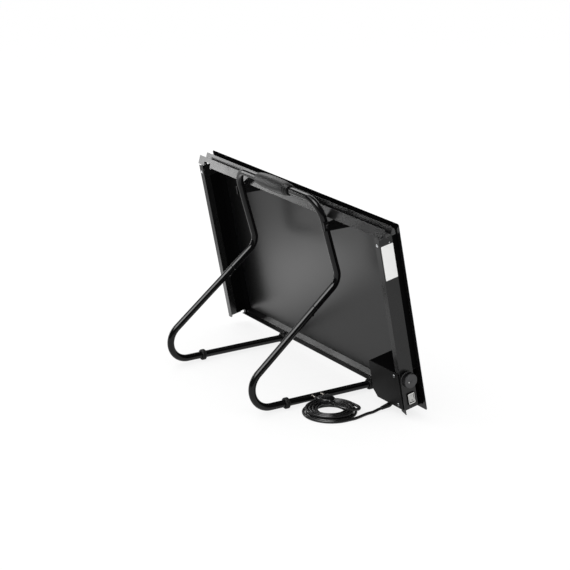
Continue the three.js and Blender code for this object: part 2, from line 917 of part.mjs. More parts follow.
// Rotary thermostat: a moulded body with a threaded bushing that passes through the side rail.
function thermostatBody() {
  const face = -railInner + seatGap;
  const body = prismX(
    roundedRectangle(
      knobN - thermostatSize.width / 2,
      knobV - thermostatSize.below,
      knobN + thermostatSize.width / 2,
      knobV + thermostatSize.above,
      panCorner,
    ),
    face,
    face + thermostatSize.depth,
  );
  const bushing = aim(
    rod(bushingRadius, overrun + seatGap + railSheet + nutHeight + seatGap, 20),
    new THREE.Vector3(face + overrun, knobN, knobV),
    outward,
  );
  const bore = aim(
    rod(spindleRadius + seatGap, spindleRoot + railSheet + nutHeight + overrun * 2, 16),
    new THREE.Vector3(face + spindleRoot, knobN, knobV),
    outward,
  );
  return cut(join(body, bushing), bore);
}

function thermostatNut() {
  const bore = rod(bushingRadius + seatGap, nutHeight + 2 * overrun, 20).translate(0, -overrun, 0);
  const nut = cut(rod(nutRadius, nutHeight, 6), bore);
  return aim(nut, new THREE.Vector3(-railOuter - seatGap, knobN, knobV), outward);
}

function thermostatSpindle() {
  const start = -railInner + seatGap + spindleRoot - seatGap;
  const end = -knobFoot - knobRecess.depth - spindleGrip;
  return aim(rod(spindleRadius, start - end, 14), new THREE.Vector3(start, knobN, knobV), outward);
}

// Knob: a skirted cap with a bevelled top edge, hollow under its skirt, and a pointer slot in its face.
function thermostatKnob() {
  const bevel = knobHeight / 8;
  const boreRadius = spindleRadius + seatGap;
  const boreEnd = knobRecess.depth + spindleGrip + seatGap;
  const cap = revolve(
    [
      [0, boreEnd],
      [boreRadius, boreEnd],
      [boreRadius, knobRecess.depth],
      [knobRecess.radius, knobRecess.depth],
      [knobRecess.radius, 0],
      [knobRadius, 0],
      [knobRadius, bevel],
      [knobRadius - bevel / 2, knobHeight - bevel],
      [knobRadius - bevel * 1.5, knobHeight],
      [0, knobHeight],
    ],
    28,
  );
  const slot = block(
    -pointer.width / 2,
    pointer.width / 2,
    knobHeight - pointer.depth,
    knobHeight + overrun,
    knobRadius - pointer.length - bevel * 2,
    knobRadius - bevel * 2,
  );
  return aim(cut(cap, slot), new THREE.Vector3(-knobFoot, knobN, knobV), outward);
}

// Rocker switch housing: bezel outside the rail, body inside it, and a well for the rocker.
function switchHousing() {
  const face = -railOuter - seatGap;
  const front = face - bezel.thickness;
  const plate = prismX(
    roundedRectangle(
      switchN - bezel.width / 2,
      switchV - bezel.height / 2,
      switchN + bezel.width / 2,
      switchV + bezel.height / 2,
      bezel.thickness / 2,
    ),
    front,
    face,
  );
  const body = block(
    front + bezel.thickness / 2,
    face + switchBody.depth,
    switchN - switchBody.width / 2,
    switchN + switchBody.width / 2,
    switchV - switchBody.height / 2,
    switchV + switchBody.height / 2,
  );
  const well = block(
    front - overrun,
    front + rockerWell.depth,
    switchN - rockerWell.width / 2,
    switchN + rockerWell.width / 2,
    switchV - rockerWell.height / 2,
    switchV + rockerWell.height / 2,
  );
  const pivotLength = rockerWell.width + 2 * pivotReach + 2 * seatGap;
  const pivotHole = aim(
    rod(pivotRadius + seatGap, pivotLength, 12),
    new THREE.Vector3(rockerPivotX, switchN - pivotLength / 2, switchV),
    axisY,
  );
  return cut(join(plate, body), well, pivotHole);
}

const rockerPivotX = -railInner + pivotDepth;

// Rocker: a shallow V face on a keel, with trunnions on its pivot; it rests with its upper end pressed in.
function switchRocker() {
  const face = outline([
    [-rockerEnd, -rockerHalf],
    [rockerKeel.drop, -rockerKeel.half],
    [rockerKeel.drop, rockerKeel.half],
    [-rockerEnd, rockerHalf],
    [-rockerValley, 0],
  ]);
  const key = prismY(face, -rockerWidth / 2, rockerWidth / 2);
  const pinLength = rockerWell.width + 2 * pivotReach;
  const pin = rod(pivotRadius, pinLength, 12).translate(0, -pinLength / 2, 0);
  return join(key, pin).rotateY(rockerTilt).translate(rockerPivotX, switchN, switchV);
}

// Terminal block: a stepped bar with a screw well over each way.
function terminalBlock() {
  const foot = trayRear + seatGap;
  const low = blockPlace.v - blockSize.height / 2;
  const high = blockPlace.v + blockSize.height / 2;
  const bar = prismX(
    outline([
      [foot, low],
      [foot + blockSize.shoulder, low],
      [foot + blockSize.shoulder, low + blockSize.step],
      [foot + blockSize.width, low + blockSize.step],
      [foot + blockSize.width, high - blockSize.step],
      [foot + blockSize.shoulder, high - blockSize.step],
      [foot + blockSize.shoulder, high],
      [foot, high],
    ].reverse()),
    blockPlace.u - blockSize.length / 2,
    blockPlace.u + blockSize.length / 2,
  );
  const ways = [-1, 0, 1].map((way) =>
    aim(
      rod(blockWell.radius, blockWell.depth + overrun, 10),
      new THREE.Vector3(
        blockPlace.u + (way * blockSize.length) / 3,
        foot + blockSize.width - blockWell.depth,
        blockPlace.v,
      ),
      axisY,
    ),
  );
  return cut(bar, ...ways);
}

// Thermal cut-out: a disc on the back plate with a raised cap.
function thermalCutout() {
  const { radius, height, rim, cap } = cutoutSize;
  const disc = revolve(
    [
      [0, 0],
      [radius, 0],
      [radius, height - rim],
      [radius - rim, height],
      [cap, height],
      [cap, height + rim],
      [0, height + rim],
    ],
    20,
  );
  return aim(disc, new THREE.Vector3(cutoutPlace.u, trayRear + seatGap, cutoutPlace.v), axisY);
}

// A wire that leaves its start towards the cover, runs in a lane at one depth and comes down on its end.
function wire(start, end, lane) {
  const path = new BentPath(
    [
      new THREE.Vector3(start.u, start.n, start.v),
      new THREE.Vector3(start.u, lane, start.v),
      new THREE.Vector3(end.u, lane, end.v),
      new THREE.Vector3(end.u, end.n, end.v),
    ],
    [wireBend, wireBend],
    Math.PI / 6,
  );
  return sweep(path, wireRadius, 6);
}

const blockFace = trayRear + seatGap + blockSize.width;
const elementRear = elementFront + elementThickness;

add(panel, "front_panel", frontPanel(), panelPaint);
add(panel, "heating_element", sheetInPan(elementFront, elementThickness), foil);
add(
  panel,
  "insulation_board",
  cut(
    sheetInPan(insulationFront, insulationThickness),
    ...wireHoles(insulationFront - overrun, insulationFront + insulationThickness + overrun, wireHole),
  ),
  mineralBoard,
);
add(panel, "back_tray", backTray(), panelPaint);
add(panel, "left_side_rail", leftSideRail(), blackPaint);
add(panel, "right_side_rail", rightSideRail(), blackPaint);
add(panel, "middle_louvre", louvreBlade(middleTip, middleRoot), blackPaint);
add(panel, "rear_louvre", louvreBlade(rearTip, rearRoot, bladeReliefs), blackPaint);
for (const [word, side] of [
  ["left", 1],
  ["right", -1],
]) {
  add(panel, `${word}_louvre_bracket`, louvreBracket(side), blackPaint);
  const rivetPlace = new THREE.Vector3(side * rivetX, railRear + seatGap, rivetV);
  add(panel, `${word}_lip_rivet`, aim(fastener(rivetHead), rivetPlace, axisY), zinc);
  const cheekPlace = new THREE.Vector3(side * (cheekInner - seatGap), cheekRivetN, rivetV);
  const inwardWay = new THREE.Vector3(-side, 0, 0);
  add(panel, `${word}_cheek_rivet`, aim(fastener(rivetHead), cheekPlace, inwardWay), zinc);
}

add(panel, "box_shell", boxShell(), blackPaint);
add(panel, "box_cover", boxCover(), blackPaint);
for (const [word, v] of Object.entries(coverScrewHeights)) {
  const place = new THREE.Vector3(coverScrewX, coverFront + coverSheet + seatGap, v);
  add(panel, `${word}_cover_screw`, aim(fastener(screwHead), place, axisY), zinc);
}
add(panel, "thermostat_body", thermostatBody(), blackPlastic);
add(panel, "thermostat_nut", thermostatNut(), zinc);
add(panel, "thermostat_spindle", thermostatSpindle(), zinc);
add(panel, "thermostat_knob", thermostatKnob(), greyPlastic);
add(panel, "switch_housing", switchHousing(), palePlastic);
add(panel, "switch_rocker", switchRocker(), palePlastic);
add(panel, "terminal_block", terminalBlock(), palePlastic);
add(panel, "thermal_cutout", thermalCutout(), blackPlastic);
add(
  panel,
  "live_wire",
  wire(
    { u: cutoutPlace.u, n: trayRear + 2 * seatGap + cutoutSize.height + cutoutSize.rim, v: cutoutPlace.v },
    { ...elementWireLive, n: elementRear + seatGap },
    wireLow,
  ),
  copperWire,
);
add(
  panel,
  "neutral_wire",
  wire(
    { u: blockPlace.u + blockSize.length / 3, n: blockFace - blockWell.depth + seatGap, v: blockPlace.v },
    { ...elementWireNeutral, n: elementRear + seatGap },
    wireLow,
  ),
  blueWire,
);
add(
  panel,
  "supply_wire",
  wire(
    { u: blockPlace.u, n: blockFace - blockWell.depth + seatGap, v: blockPlace.v },
    {
      u: cutoutPlace.u - cutoutSize.cap / 2 - 2 * wireRadius,
      n: trayRear + 2 * seatGap + cutoutSize.height,
      v: cutoutPlace.v - cutoutSize.cap,
    },
    wireHigh,
  ),
  copperWire,
);

// Stand: an upper hoop and two lower legs that join it on inserts.
function standCorners(side) {
  const knee = new THREE.Vector3(side * hoopHalf, kneeY, kneeZ);
  const heel = new THREE.Vector3(side * railHalf, kneeY + (kneeZ - railZ) / legSlope, railZ);
  const toe = new THREE.Vector3(side * railHalf, footFront + footWall + seatGap, railZ);
  const top = new THREE.Vector3(side * hoopHalf, hoopTopY, hoopTopZ);
  const legWay = heel.clone().sub(knee).normalize();
  const splice = knee.clone().addScaledVector(legWay, spliceDrop);
  return { knee, heel, toe, top, legWay, splice };
}

const bendStep = THREE.MathUtils.degToRad(12);
const tubeSides = 14;
const boreSides = 12;

function boltHole(bolt, start, direction, length) {
  return aim(rod(bolt.shank + seatGap, length, 10), start, direction);
}

function spliceBolt(side) {
  const { splice, legWay } = standCorners(side);
  const across = axisX.clone().cross(legWay).normalize().negate();
  return { place: splice.clone().addScaledVector(legWay, insertLength / 4), across };
}

// The height of the gussets up the panel, below the corner of the hoop.
function gussetTopV() {
  return panelLocal(standCorners(1).top).z - gussetDrop;
}

function gussetBoltPlace(side) {
  const { top, knee } = standCorners(side);
  const lean = panelLocal(top).z - panelLocal(knee).z;
  const share = (gussetTopV() - gussetBoltDrop - panelLocal(knee).z) / lean;
  return knee.clone().lerp(top, share);
}

function tube(corners, radii) {
  const path = new BentPath(corners, radii, bendStep);
  return sweep(path, tubeRadius, tubeSides, tubeRadius - tubeWall, boreSides);
}

function standHoop() {
  const left = standCorners(1);
  const right = standCorners(-1);
  const hoop = tube(
    [
      left.splice.clone().addScaledVector(left.legWay, -seatGap),
      left.knee,
      left.top,
      right.top,
      right.knee,
      right.splice.clone().addScaledVector(right.legWay, -seatGap),
    ],
    [kneeBend, hoopBend, hoopBend, kneeBend],
  );
  const holes = [1, -1].map((side) => {
    const start = gussetBoltPlace(side);
    return boltHole(boltHead, start, new THREE.Vector3(side, 0, 0), tubeRadius + overrun);
  });
  return cut(hoop, ...holes);
}

function standLeg(side) {
  const { splice, heel, toe } = standCorners(side);
  const { place, across } = spliceBolt(side);
  const leg = tube([splice, heel, toe], [heelBend]);
  const footBolt = footBoltPlace(side);
  return cut(
    leg,
    boltHole(screwHead, place, across, tubeRadius + overrun),
    boltHole(boltHead, footBolt.place, footBolt.way.clone().negate(), 2 * tubeRadius + 2 * overrun),
  );
}

function spliceInsert(side) {
  const { splice, legWay } = standCorners(side);
  const { place, across } = spliceBolt(side);
  const start = splice.clone().addScaledVector(legWay, -insertLength / 2);
  const insert = aim(rod(insertRadius, insertLength, 12), start, legWay);
  const holeStart = place.clone().addScaledVector(across, -overrun);
  return cut(insert, boltHole(screwHead, holeStart, across, 2 * insertRadius + overrun));
}

// The bolt that holds the tray's bottom flange down on the foot cap and the floor rail.
function footBoltPlace(side) {
  const flangeTop = halfHeight - trayHalfHeight + traySheet + seatGap;
  return { place: panelPoint(side * railHalf, footBoltN, flangeTop), way: panelDirection(0, 0, 1) };
}

const rubberRadius = ringRadius + rubberSpread;

// Rubber pressed flat where it stands on the floor.
function standing(rubberPiece) {
  const floor = block(-halfWidth, halfWidth, -halfWidth, halfWidth, -rubberRadius, 0);
  return cut(rubberPiece, floor);
}

function rubberRing(side) {
  const bore = tubeRadius + seatGap;
  const ring = revolve(
    closedRing([
      [bore, 0],
      [rubberRadius - ringCrown, 0],
      [rubberRadius, ringCrown],
      [rubberRadius, ringWidth - ringCrown],
      [rubberRadius - ringCrown, ringWidth],
      [bore, ringWidth],
    ]),
    24,
  );
  return standing(ring.translate(side * railHalf, rearRingY - ringWidth / 2, railZ));
}

// Foot cap: a closed rubber cup over the front end of a floor rail, cut flat under the tray's flange.
function footCap(side) {
  const bore = tubeRadius + seatGap;
  const cup = revolve(
    [
      [0, 0],
      [rubberRadius - footCrown, 0],
      [rubberRadius, footCrown],
      [rubberRadius, footLength - footCrown],
      [rubberRadius - footCrown, footLength],
      [bore, footLength],
      [bore, footWall],
      [0, footWall],
    ],
    24,
  ).translate(side * railHalf, footFront, railZ);
  const flangeUnder = halfHeight - trayHalfHeight - seatGap;
  const seat = block(
    side * railHalf - 2 * ringRadius,
    side * railHalf + 2 * ringRadius,
    -2 * ringRadius,
    2 * ringRadius,
    flangeUnder,
    flangeUnder + ringRadius,
  );
  seat.rotateX(-panelTilt).translate(0, 0, panelLift);
  const bolt = footBoltPlace(side);
  const hole = boltHole(boltHead, bolt.place, bolt.way.clone().negate(), 2 * tubeRadius);
  return standing(cut(cup, seat, hole));
}

// Grip: a swollen sleeve on the top bar with two grooves near its right-hand end.
function handGrip() {
  const bore = tubeRadius + seatGap;
  const half = gripLength / 2;
  const swell = (at) => gripEnd + (gripRadius - gripEnd) * Math.sqrt(Math.max(0, 1 - (at / half) ** 2));
  const stations = [];
  const stationCount = 14;
  for (let i = 0; i <= stationCount; i++) {
    const at = half * Math.sin((Math.PI * (i / stationCount - 0.5)));
    stations.push([swell(at), at + half]);
  }
  const sleeve = revolve(closedRing([[bore, 0], ...stations, [bore, gripLength]]), 22);
  const grooves = [];
  for (let i = 1; i <= grooveCount; i++) {
    const at = gripLength - i * gripGroove.pitch;
    const depth = swell(at - half) - gripGroove.depth;
    grooves.push(
      revolve(
        closedRing([
          [depth, at - gripGroove.width / 2],
          [gripRadius + overrun, at - gripGroove.width / 2],
          [gripRadius + overrun, at + gripGroove.width / 2],
          [depth, at + gripGroove.width / 2],
        ]),
        22,
      ),
    );
  }
  const start = new THREE.Vector3(gripMiddle + half, hoopTopY, hoopTopZ);
  return aim(cut(sleeve, ...grooves), start, axisX.clone().negate());
}

// Gusset bracket: a tapering web beside the tube with a foot folded flat on the back plate.
function gusset(side) {
  const webInner = hoopHalf + tubeRadius + seatGap;
  const webOuter = webInner + gussetSheet;
  const span = [side * webInner, side * webOuter].sort((a, b) => a - b);
  const foot = trayRear + seatGap;
  const bolt = panelLocal(gussetBoltPlace(side));
  const high = gussetTopV();
  const web = prismX(
    outline([
      [foot, high - gussetHeight],
      [bolt.y + gussetNose, high - gussetTipHeight],
      [bolt.y + gussetNose, high],
      [foot, high],
    ]),
    span[0],
    span[1],
  );
  const footSpan = [side * webInner, side * (webInner + gussetFoot)].sort((a, b) => a - b);
  const plate = block(footSpan[0], footSpan[1], foot, foot + gussetSheet, high - gussetHeight, high);
  const hole = boltHole(
    boltHead,
    new THREE.Vector3(side * (webInner - overrun), bolt.y, bolt.z),
    new THREE.Vector3(side, 0, 0),
    gussetSheet + 2 * overrun,
  );
  return cut(join(web, plate), hole);
}

add(root, "stand_hoop", standHoop(), tubePaint);
add(root, "hand_grip", handGrip(), blackPlastic);
for (const [word, side] of [
  ["left", 1],
  ["right", -1],
]) {
  add(root, `${word}_leg`, standLeg(side), tubePaint);
  add(root, `${word}_splice_insert`, spliceInsert(side), zinc);
  const { place, across } = spliceBolt(side);
  const headPlace = place.clone().addScaledVector(across, tubeRadius + seatGap);
  add(root, `${word}_splice_screw`, aim(fastener(screwHead), headPlace, across), zinc);
  add(root, `${word}_rear_ring`, rubberRing(side), rubber);
  add(root, `${word}_foot_cap`, footCap(side), rubber);
  const foot = footBoltPlace(side);
  add(root, `${word}_foot_bolt`, aim(fastener(boltHead), foot.place, foot.way), blackPaint);
  add(panel, `${word}_gusset`, gusset(side), blackPaint);
  const gussetBolt = gussetBoltPlace(side);
  gussetBolt.x = side * (hoopHalf + tubeRadius + gussetSheet + 2 * seatGap);
  add(root, `${word}_gusset_bolt`, aim(fastener(boltHead), gussetBolt, new THREE.Vector3(side, 0, 0)), zinc);
}

// Strain relief: a tapering boot that leaves the underside of the box and turns towards the rear.
const floorZ = cordRadius + floorGap;
const glandMouth = panelPoint(glandX, glandN, boxBottom);
const glandTurn = { drop: 7, run: 1.5, bend: 8 };
const glandExit = { reach: 21, z: 5.2 };

const glandStart = panelPoint(glandX, glandN, boxBottom + boxSheet + seatGap);
const glandCorner = new THREE.Vector3(glandX, glandMouth.y - glandTurn.run, glandMouth.z - glandTurn.drop);
const glandEnd = new THREE.Vector3(glandX, glandMouth.y + glandExit.reach, glandExit.z);
const glandWay = glandEnd.clone().sub(glandCorner).normalize();

function cableGland() {
  const path = new BentPath([glandStart, glandCorner, glandEnd], [glandTurn.bend], Math.PI / 10);
  const boot = taperedSweep(path, (u) => glandRoot + (glandTip - glandRoot) * u, glandSides);
  const flange = aim(
    rod(glandFlange.radius, glandFlange.height, glandSides),
    glandStart,
    panelDirection(0, 0, 1),
  );
  return join(boot, flange);
}

// Coil: one unbroken tube that spirals in on the floor, climbs a layer in the half turn at its heart
// and spirals out again; its loops run clockwise seen from above.
function coilPlaces() {
  const places = [];
  const reversal = lowerTurns + climbTurns / 2;
  const steps = Math.round((lowerTurns + climbTurns + upperTurns) * loopSteps);
  for (let i = 0; i <= steps; i++) {
    const turns = i / loopSteps;
    const climb = THREE.MathUtils.clamp((turns - lowerTurns) / climbTurns, 0, 1);
    const radius = coilOuter - coilPitch * (reversal - Math.abs(turns - reversal));
    const angle = Math.PI - 2 * Math.PI * turns;
    const rise = layerRise * (1 - Math.cos(Math.PI * climb)) * 0.5;
    places.push(
      new THREE.Vector3(
        coilCentre.x + radius * Math.cos(angle),
        coilCentre.y + radius * Math.sin(angle),
        floorZ + rise,
      ),
    );
  }
  const run = 2 * cordRadius;
  const first = places[0].clone().add(new THREE.Vector3(0, -run, 0));
  const last = places.at(-1);
  const lastWay = last.clone().sub(places.at(-2)).setZ(0).normalize();
  return [first, ...places, last.clone().addScaledVector(lastWay, run)];
}

// The least distance between two stretches of the coil, measured on its points and halfway between them.
function leastSelfGap(places) {
  const dense = places.flatMap((p, i) => (i ? [places[i - 1].clone().lerp(p, 0.5), p] : [p]));
  const skip = loopSteps;
  let least = Infinity;
  for (let i = 0; i < dense.length; i++) {
    for (let j = i + skip; j < dense.length; j++) {
      least = Math.min(least, dense[i].distanceTo(dense[j]));
    }
  }
  return least - 2 * cordRadius;
}

// A path through given places, with the heading at each place taken from its neighbours.
class PlacedPath extends THREE.Curve {
  constructor(places, startWay, endWay) {
    super();
    this.stations = places.map((point, i) => {
      const before = places[Math.max(0, i - 1)];
      const after = places[Math.min(places.length - 1, i + 1)];
      return { point, tangent: after.clone().sub(before).normalize() };
    });
    if (startWay) this.stations[0].tangent = startWay;
    if (endWay) this.stations.at(-1).tangent = endWay;
  }

  getPointAt(u, target = new THREE.Vector3()) {
    return target.copy(this.stations[Math.round(u * this.steps)].point);
  }

  getTangentAt(u, target = new THREE.Vector3()) {
    return target.copy(this.stations[Math.round(u * this.steps)].tangent);
  }

  get steps() {
    return this.stations.length - 1;
  }
}

// A smooth cord through hand-placed points, stepped every two or three diameters.
function cordPlaces(points) {
  const curve = new THREE.CatmullRomCurve3(points, false, "centripetal");
  const steps = Math.ceil(curve.getLength() / (5 * cordRadius));
  return curve.getSpacedPoints(steps);
}

const coilPath = coilPlaces();
const coilStart = coilPath[0];
const coilEnd = coilPath.at(-1);
const coilEndWay = coilEnd.clone().sub(coilPath.at(-2)).normalize();
console.log(`least gap of the coil to itself ${leastSelfGap(coilPath).toFixed(2)} mm`);

// Free cord from the boot to the coil, along the floor.
const cordStart = glandEnd.clone().addScaledVector(glandWay, seatGap);
const cordRoute = [
  cordStart,
  cordStart.clone().addScaledVector(glandWay, 2 * cordRadius),
  ...runBends.map(({ shift, y }) => new THREE.Vector3(glandX + shift, y, floorZ)),
  new THREE.Vector3(coilStart.x, coilStart.y - runLead, floorZ),
  new THREE.Vector3(coilStart.x, coilStart.y - seatGap, floorZ),
];

// Tail from the top of the coil up to the plug, which lies across the loops.
const topZ = floorZ + layerRise;
const plugZ = topZ + cordRadius + seatGap + plugBody.thickness / 2;
const plugStart = new THREE.Vector3(coilCentre.x + plugPlace.x, coilCentre.y + plugPlace.y, plugZ);

// The places of the tail are taken from the coil's centre, with their rise above its upper layer.
const tailRoute = [
  coilEnd.clone().addScaledVector(coilEndWay, seatGap),
  coilEnd.clone().addScaledVector(coilEndWay, seatGap + 2 * cordRadius),
  ...tailBends.map(
    ({ x, y, rise }) => new THREE.Vector3(coilCentre.x + x, coilCentre.y + y, topZ + rise),
  ),
  plugStart.clone().add(new THREE.Vector3(-plugLead, 0, 0)),
  plugStart.clone().add(new THREE.Vector3(-seatGap, 0, 0)),
];

function freeCord(route, startWay, endWay) {
  return sweep(new PlacedPath(cordPlaces(route), startWay, endWay), cordRadius, cordSides);
}

// Plug: a flat moulded body with a round neck, and two pins.
function plugShell() {
  const { halfWidth: across, thickness, corner } = plugBody;
  const body = prismX(
    roundedRectangle(-across, -thickness / 2, across, thickness / 2, corner),
    plugNeck.length,
    plugBody.length,
  );
  const shaft = revolve(
    [
      [0, 0],
      [plugNeck.tip, 0],
      [plugNeck.radius, plugNeck.length],
      [plugNeck.radius, plugNeck.length + overrun],
      [0, plugNeck.length + overrun],
    ],
    14,
  );
  return join(body, aim(shaft, new THREE.Vector3(), axisX));
}

add(root, "cable_gland", cableGland(), blackPlastic);
add(root, "cord_run", freeCord(cordRoute, glandWay, axisY.clone()), rubber);
const coilLine = new PlacedPath(coilPath, axisY.clone(), coilEndWay);
add(root, "cord_coil", sweep(coilLine, cordRadius, coilSides), rubber);
add(root, "cord_tail", freeCord(tailRoute, coilEndWay, axisX.clone()), rubber);
const plug = new THREE.Group();
plug.position.copy(plugStart);
root.add(plug);
add(plug, "plug_body", plugShell(), blackPlastic);
for (const [word, side] of [
  ["first", 1],
  ["second", -1],
]) {
  const place = new THREE.Vector3(plugBody.length + seatGap, (side * plugPin.spacing) / 2, 0);
  add(plug, `${word}_plug_pin`, aim(rod(plugPin.radius, plugPin.length, 10), place, axisX), zinc);
}

// The origin is under the middle of the object without its cord, on the floor.
const rearmost = kneeY + (kneeZ - railZ) / legSlope;
const heelLean = Math.atan(legSlope);
const heelReach = heelBend * Math.tan((Math.PI - heelLean) / 2);
const farY = rearmost - heelReach + heelBend + tubeRadius;
const nearY = panelPoint(0, -panDepth, rimWidth + bevelRun).y;
root.position.set((knobFace - halfWidth) / 2, -(nearY + farY) / 2, 0);

console.log(`origin shift ${root.position.toArray().map((c) => c.toFixed(3))}`);

export default root;
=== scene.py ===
"""Free-standing infrared panel heater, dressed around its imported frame.

Metres, +Z up, +Y to the rear. A place on the panel is given as u along it, n along its rear normal and
v up its face from the lower edge of the front pan; a place in the stand is given as x, y and z. Both are
written in millimetres and turned into metres of the shared frame by on_panel() and in_stand().
"""

import math

import bmesh
import bpy
from bpy.props import FloatProperty, FloatVectorProperty, IntProperty, PointerProperty
from mathutils import Matrix, Vector


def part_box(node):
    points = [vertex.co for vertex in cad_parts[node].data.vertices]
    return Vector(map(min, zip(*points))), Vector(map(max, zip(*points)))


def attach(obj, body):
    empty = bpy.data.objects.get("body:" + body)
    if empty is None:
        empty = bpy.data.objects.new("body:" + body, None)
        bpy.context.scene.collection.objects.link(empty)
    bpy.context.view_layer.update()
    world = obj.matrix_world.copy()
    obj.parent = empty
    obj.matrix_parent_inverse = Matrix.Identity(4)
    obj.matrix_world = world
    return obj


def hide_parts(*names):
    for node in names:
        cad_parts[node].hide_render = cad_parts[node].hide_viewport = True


bl_info = {
    "name": "Infrared Panel Heater",
    "version": (1, 0, 0),
    "blender": (4, 5, 0),
    "location": "3D View > Sidebar > Heater",
    "description": "Dresses the frame of a free-standing infrared panel heater",
    "category": "Object",
}

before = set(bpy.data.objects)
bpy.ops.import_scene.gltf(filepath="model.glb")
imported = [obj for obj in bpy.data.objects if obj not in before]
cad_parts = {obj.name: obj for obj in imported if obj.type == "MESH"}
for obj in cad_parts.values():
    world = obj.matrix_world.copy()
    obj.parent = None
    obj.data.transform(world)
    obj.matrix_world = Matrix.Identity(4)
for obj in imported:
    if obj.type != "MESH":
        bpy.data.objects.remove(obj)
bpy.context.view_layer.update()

MM = 0.001
SEAT_GAP = 0.3
GAP = SEAT_GAP * MM
SIDES = (("left", 1), ("right", -1))
TO_LEFT = Vector((1, 0, 0))
TO_REAR = Vector((0, 1, 0))

# Where the origin of the sizes below lies in the shared frame.
GRIP_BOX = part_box("hand_grip")
PANEL_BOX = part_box("front_panel")
HOOP_TOP_Y = 113
HOOP_TOP_Z = 353.5
SHIFT = Vector(
    (
        (PANEL_BOX[0].x + PANEL_BOX[1].x) / 2,
        (GRIP_BOX[0].y + GRIP_BOX[1].y) / 2 - HOOP_TOP_Y * MM,
        0,
    )
)

# Panel.
PANEL_TILT = math.radians(11.25)
PANEL_LIFT = 10.1
RAIL_OUTER = 292.2
RAIL_LIP = 12
RAIL_REAR = 37.3
BOX_BOTTOM = 12.2
COVER_REAR = 38.9
COVER_SCREW_U = -276
COVER_SCREWS_V = (("upper", 74), ("lower", 19.2))
RIVET_V = 316
CHEEK_INNER = 288.2
CHEEK_RIVET_N = 16.5
TRAY_FLANGE = 9.3
SHEET = 1
UPPER_RIM_V = 320
PLATE_N, PLATE_V = (10.9, 34.9), (253, 314)
PLATE_CORNER = 1.2
PLATE_FOOT, PLATE_FACE = 0.02, 0.3

# Stand.
TUBE_RADIUS = 6.35
HOOP_HALF = 135.5
RAIL_HALF = 143.5
RAIL_Z = 9.5
KNEE = (71, 210.1)
LEG_SLOPE = 0.829
SPLICE_DROP = 66
INSERT_LENGTH = 44
RING_Y = 178.5
RING_WIDTH = 9
FOOT_FRONT = 2.4
FOOT_WALL = 1.6
FOOT_LENGTH = 11.5
GUSSET_DROP = 35.8
GUSSET_SHEET = 2
GUSSET_BOLT_DROP = 7.5
FOOT_BOLT_N = 5.5

# Controls on the right-hand wall.
KNOB_N, KNOB_V = 25, 68
KNOB_FOOT = 293.4
SWITCH_N, SWITCH_V = 22.5, 30.5
BEZEL_FACE = 294.3
ROCKER_PIVOT_X = -289.5
ROCKER_TILT = math.radians(12)
MARK_V = 3.7

# Strain relief and cord route.
GLAND_X = -241
GLAND_N = 30
GLAND_TURN = (1.5, 7)
GLAND_REACH = 21
GLAND_END_Z = 5.2
CORD_LIFT = 0.1
RUN_BENDS = [(-1.5, 70), (-3, 84)]
RUN_LEAD = 14
TAIL_BENDS = [
    (-13.6, -45, 0.3),
    (-24.7, -43, 0.8),
    (-33.2, -35.6, 2.4),
    (-36.7, -24.8, 5),
    (-34.1, -13.8, 7.2),
    (-26.3, -5.7, 8.8),
    (-15.5, -2.7, 9.65),
]
COIL_CENTRE = (-202.4, 131)
LOWER_TURNS = 4
CLIMB_TURNS = 0.5
UPPER_TURNS = 3.25
PLUG_PLACE = (-8, -2.7)
PLUG_LEAD = 5
PLUG_THICKNESS = 13.7
PIN_START = 36
PIN_SPACING = 19


def in_stand(x, y, z):
    return Vector((x, y, z)) * MM + SHIFT


def over_floor(x, y, height):
    """A place given in the stand's x and y, in millimetres, and by its height in metres."""
    place = in_stand(x, y, 0)
    return Vector((place.x, place.y, height))


def along_panel(u, n, v):
    sine, cosine = math.sin(PANEL_TILT), math.cos(PANEL_TILT)
    return Vector((u, v * sine + n * cosine, v * cosine - n * sine))


def on_panel(u, n, v):
    return (along_panel(u, n, v) + Vector((0, 0, PANEL_LIFT))) * MM + SHIFT


def panel_height(point):
    """How far up the panel's face a place of the shared frame lies, in millimetres."""
    place = (point - SHIFT) / MM
    return place.y * math.sin(PANEL_TILT) + (place.z - PANEL_LIFT) * math.cos(PANEL_TILT)


def length_of(name, description, millimetres):
    return FloatProperty(name=name, description=description, default=millimetres * MM, unit="LENGTH")


def colour_of(name, description, value):
    return FloatVectorProperty(name=name, description=description, default=value, subtype="COLOR")


def angle_of(name, description, degrees):
    return FloatProperty(name=name, description=description, default=math.radians(degrees), subtype="ANGLE")


def power_of(name, description, watts):
    return FloatProperty(name=name, description=description, default=watts, unit="POWER")


def count_of(name, description, value, least):
    return IntProperty(name=name, description=description, default=value, min=least)


class StandSizes(bpy.types.PropertyGroup):
    tube_radius: length_of("Tube radius", "Outer radius of the stand's tube", TUBE_RADIUS)
    tube_wall: length_of("Tube wall", "Wall of the stand's tube", 1.2)
    hoop_bend: length_of("Hoop bend", "Radius of the two upper bends", 34)
    knee_bend: length_of("Knee bend", "Radius of the bends half-way down", 28)
    heel_bend: length_of("Heel bend", "Radius of the bends at the floor", 35.5)
    rubber_radius: length_of("Rubber radius", "Outer radius of rings and caps", 9.9)
    sides: count_of("Sides", "Facets round a tube", 48, 12)


class GripSizes(bpy.types.PropertyGroup):
    length: length_of("Length", "Length of the hand grip", 104)
    middle: length_of("Middle", "Place of the grip along the top bar", 6.5)
    radius: length_of("Radius", "Radius at the grip's swell", 13)
    end_radius: length_of("End radius", "Radius at the grip's ends", 8.6)


class ControlSizes(bpy.types.PropertyGroup):
    knob_radius: length_of("Knob radius", "Radius of the thermostat knob", 14)
    knob_height: length_of("Knob height", "Height of the thermostat knob", 12)
    knob_ribs: count_of("Knob ribs", "Ribs round the knob's skirt", 44, 0)
    rib_depth: length_of("Rib depth", "Depth of the knob's ribs", 0.45)


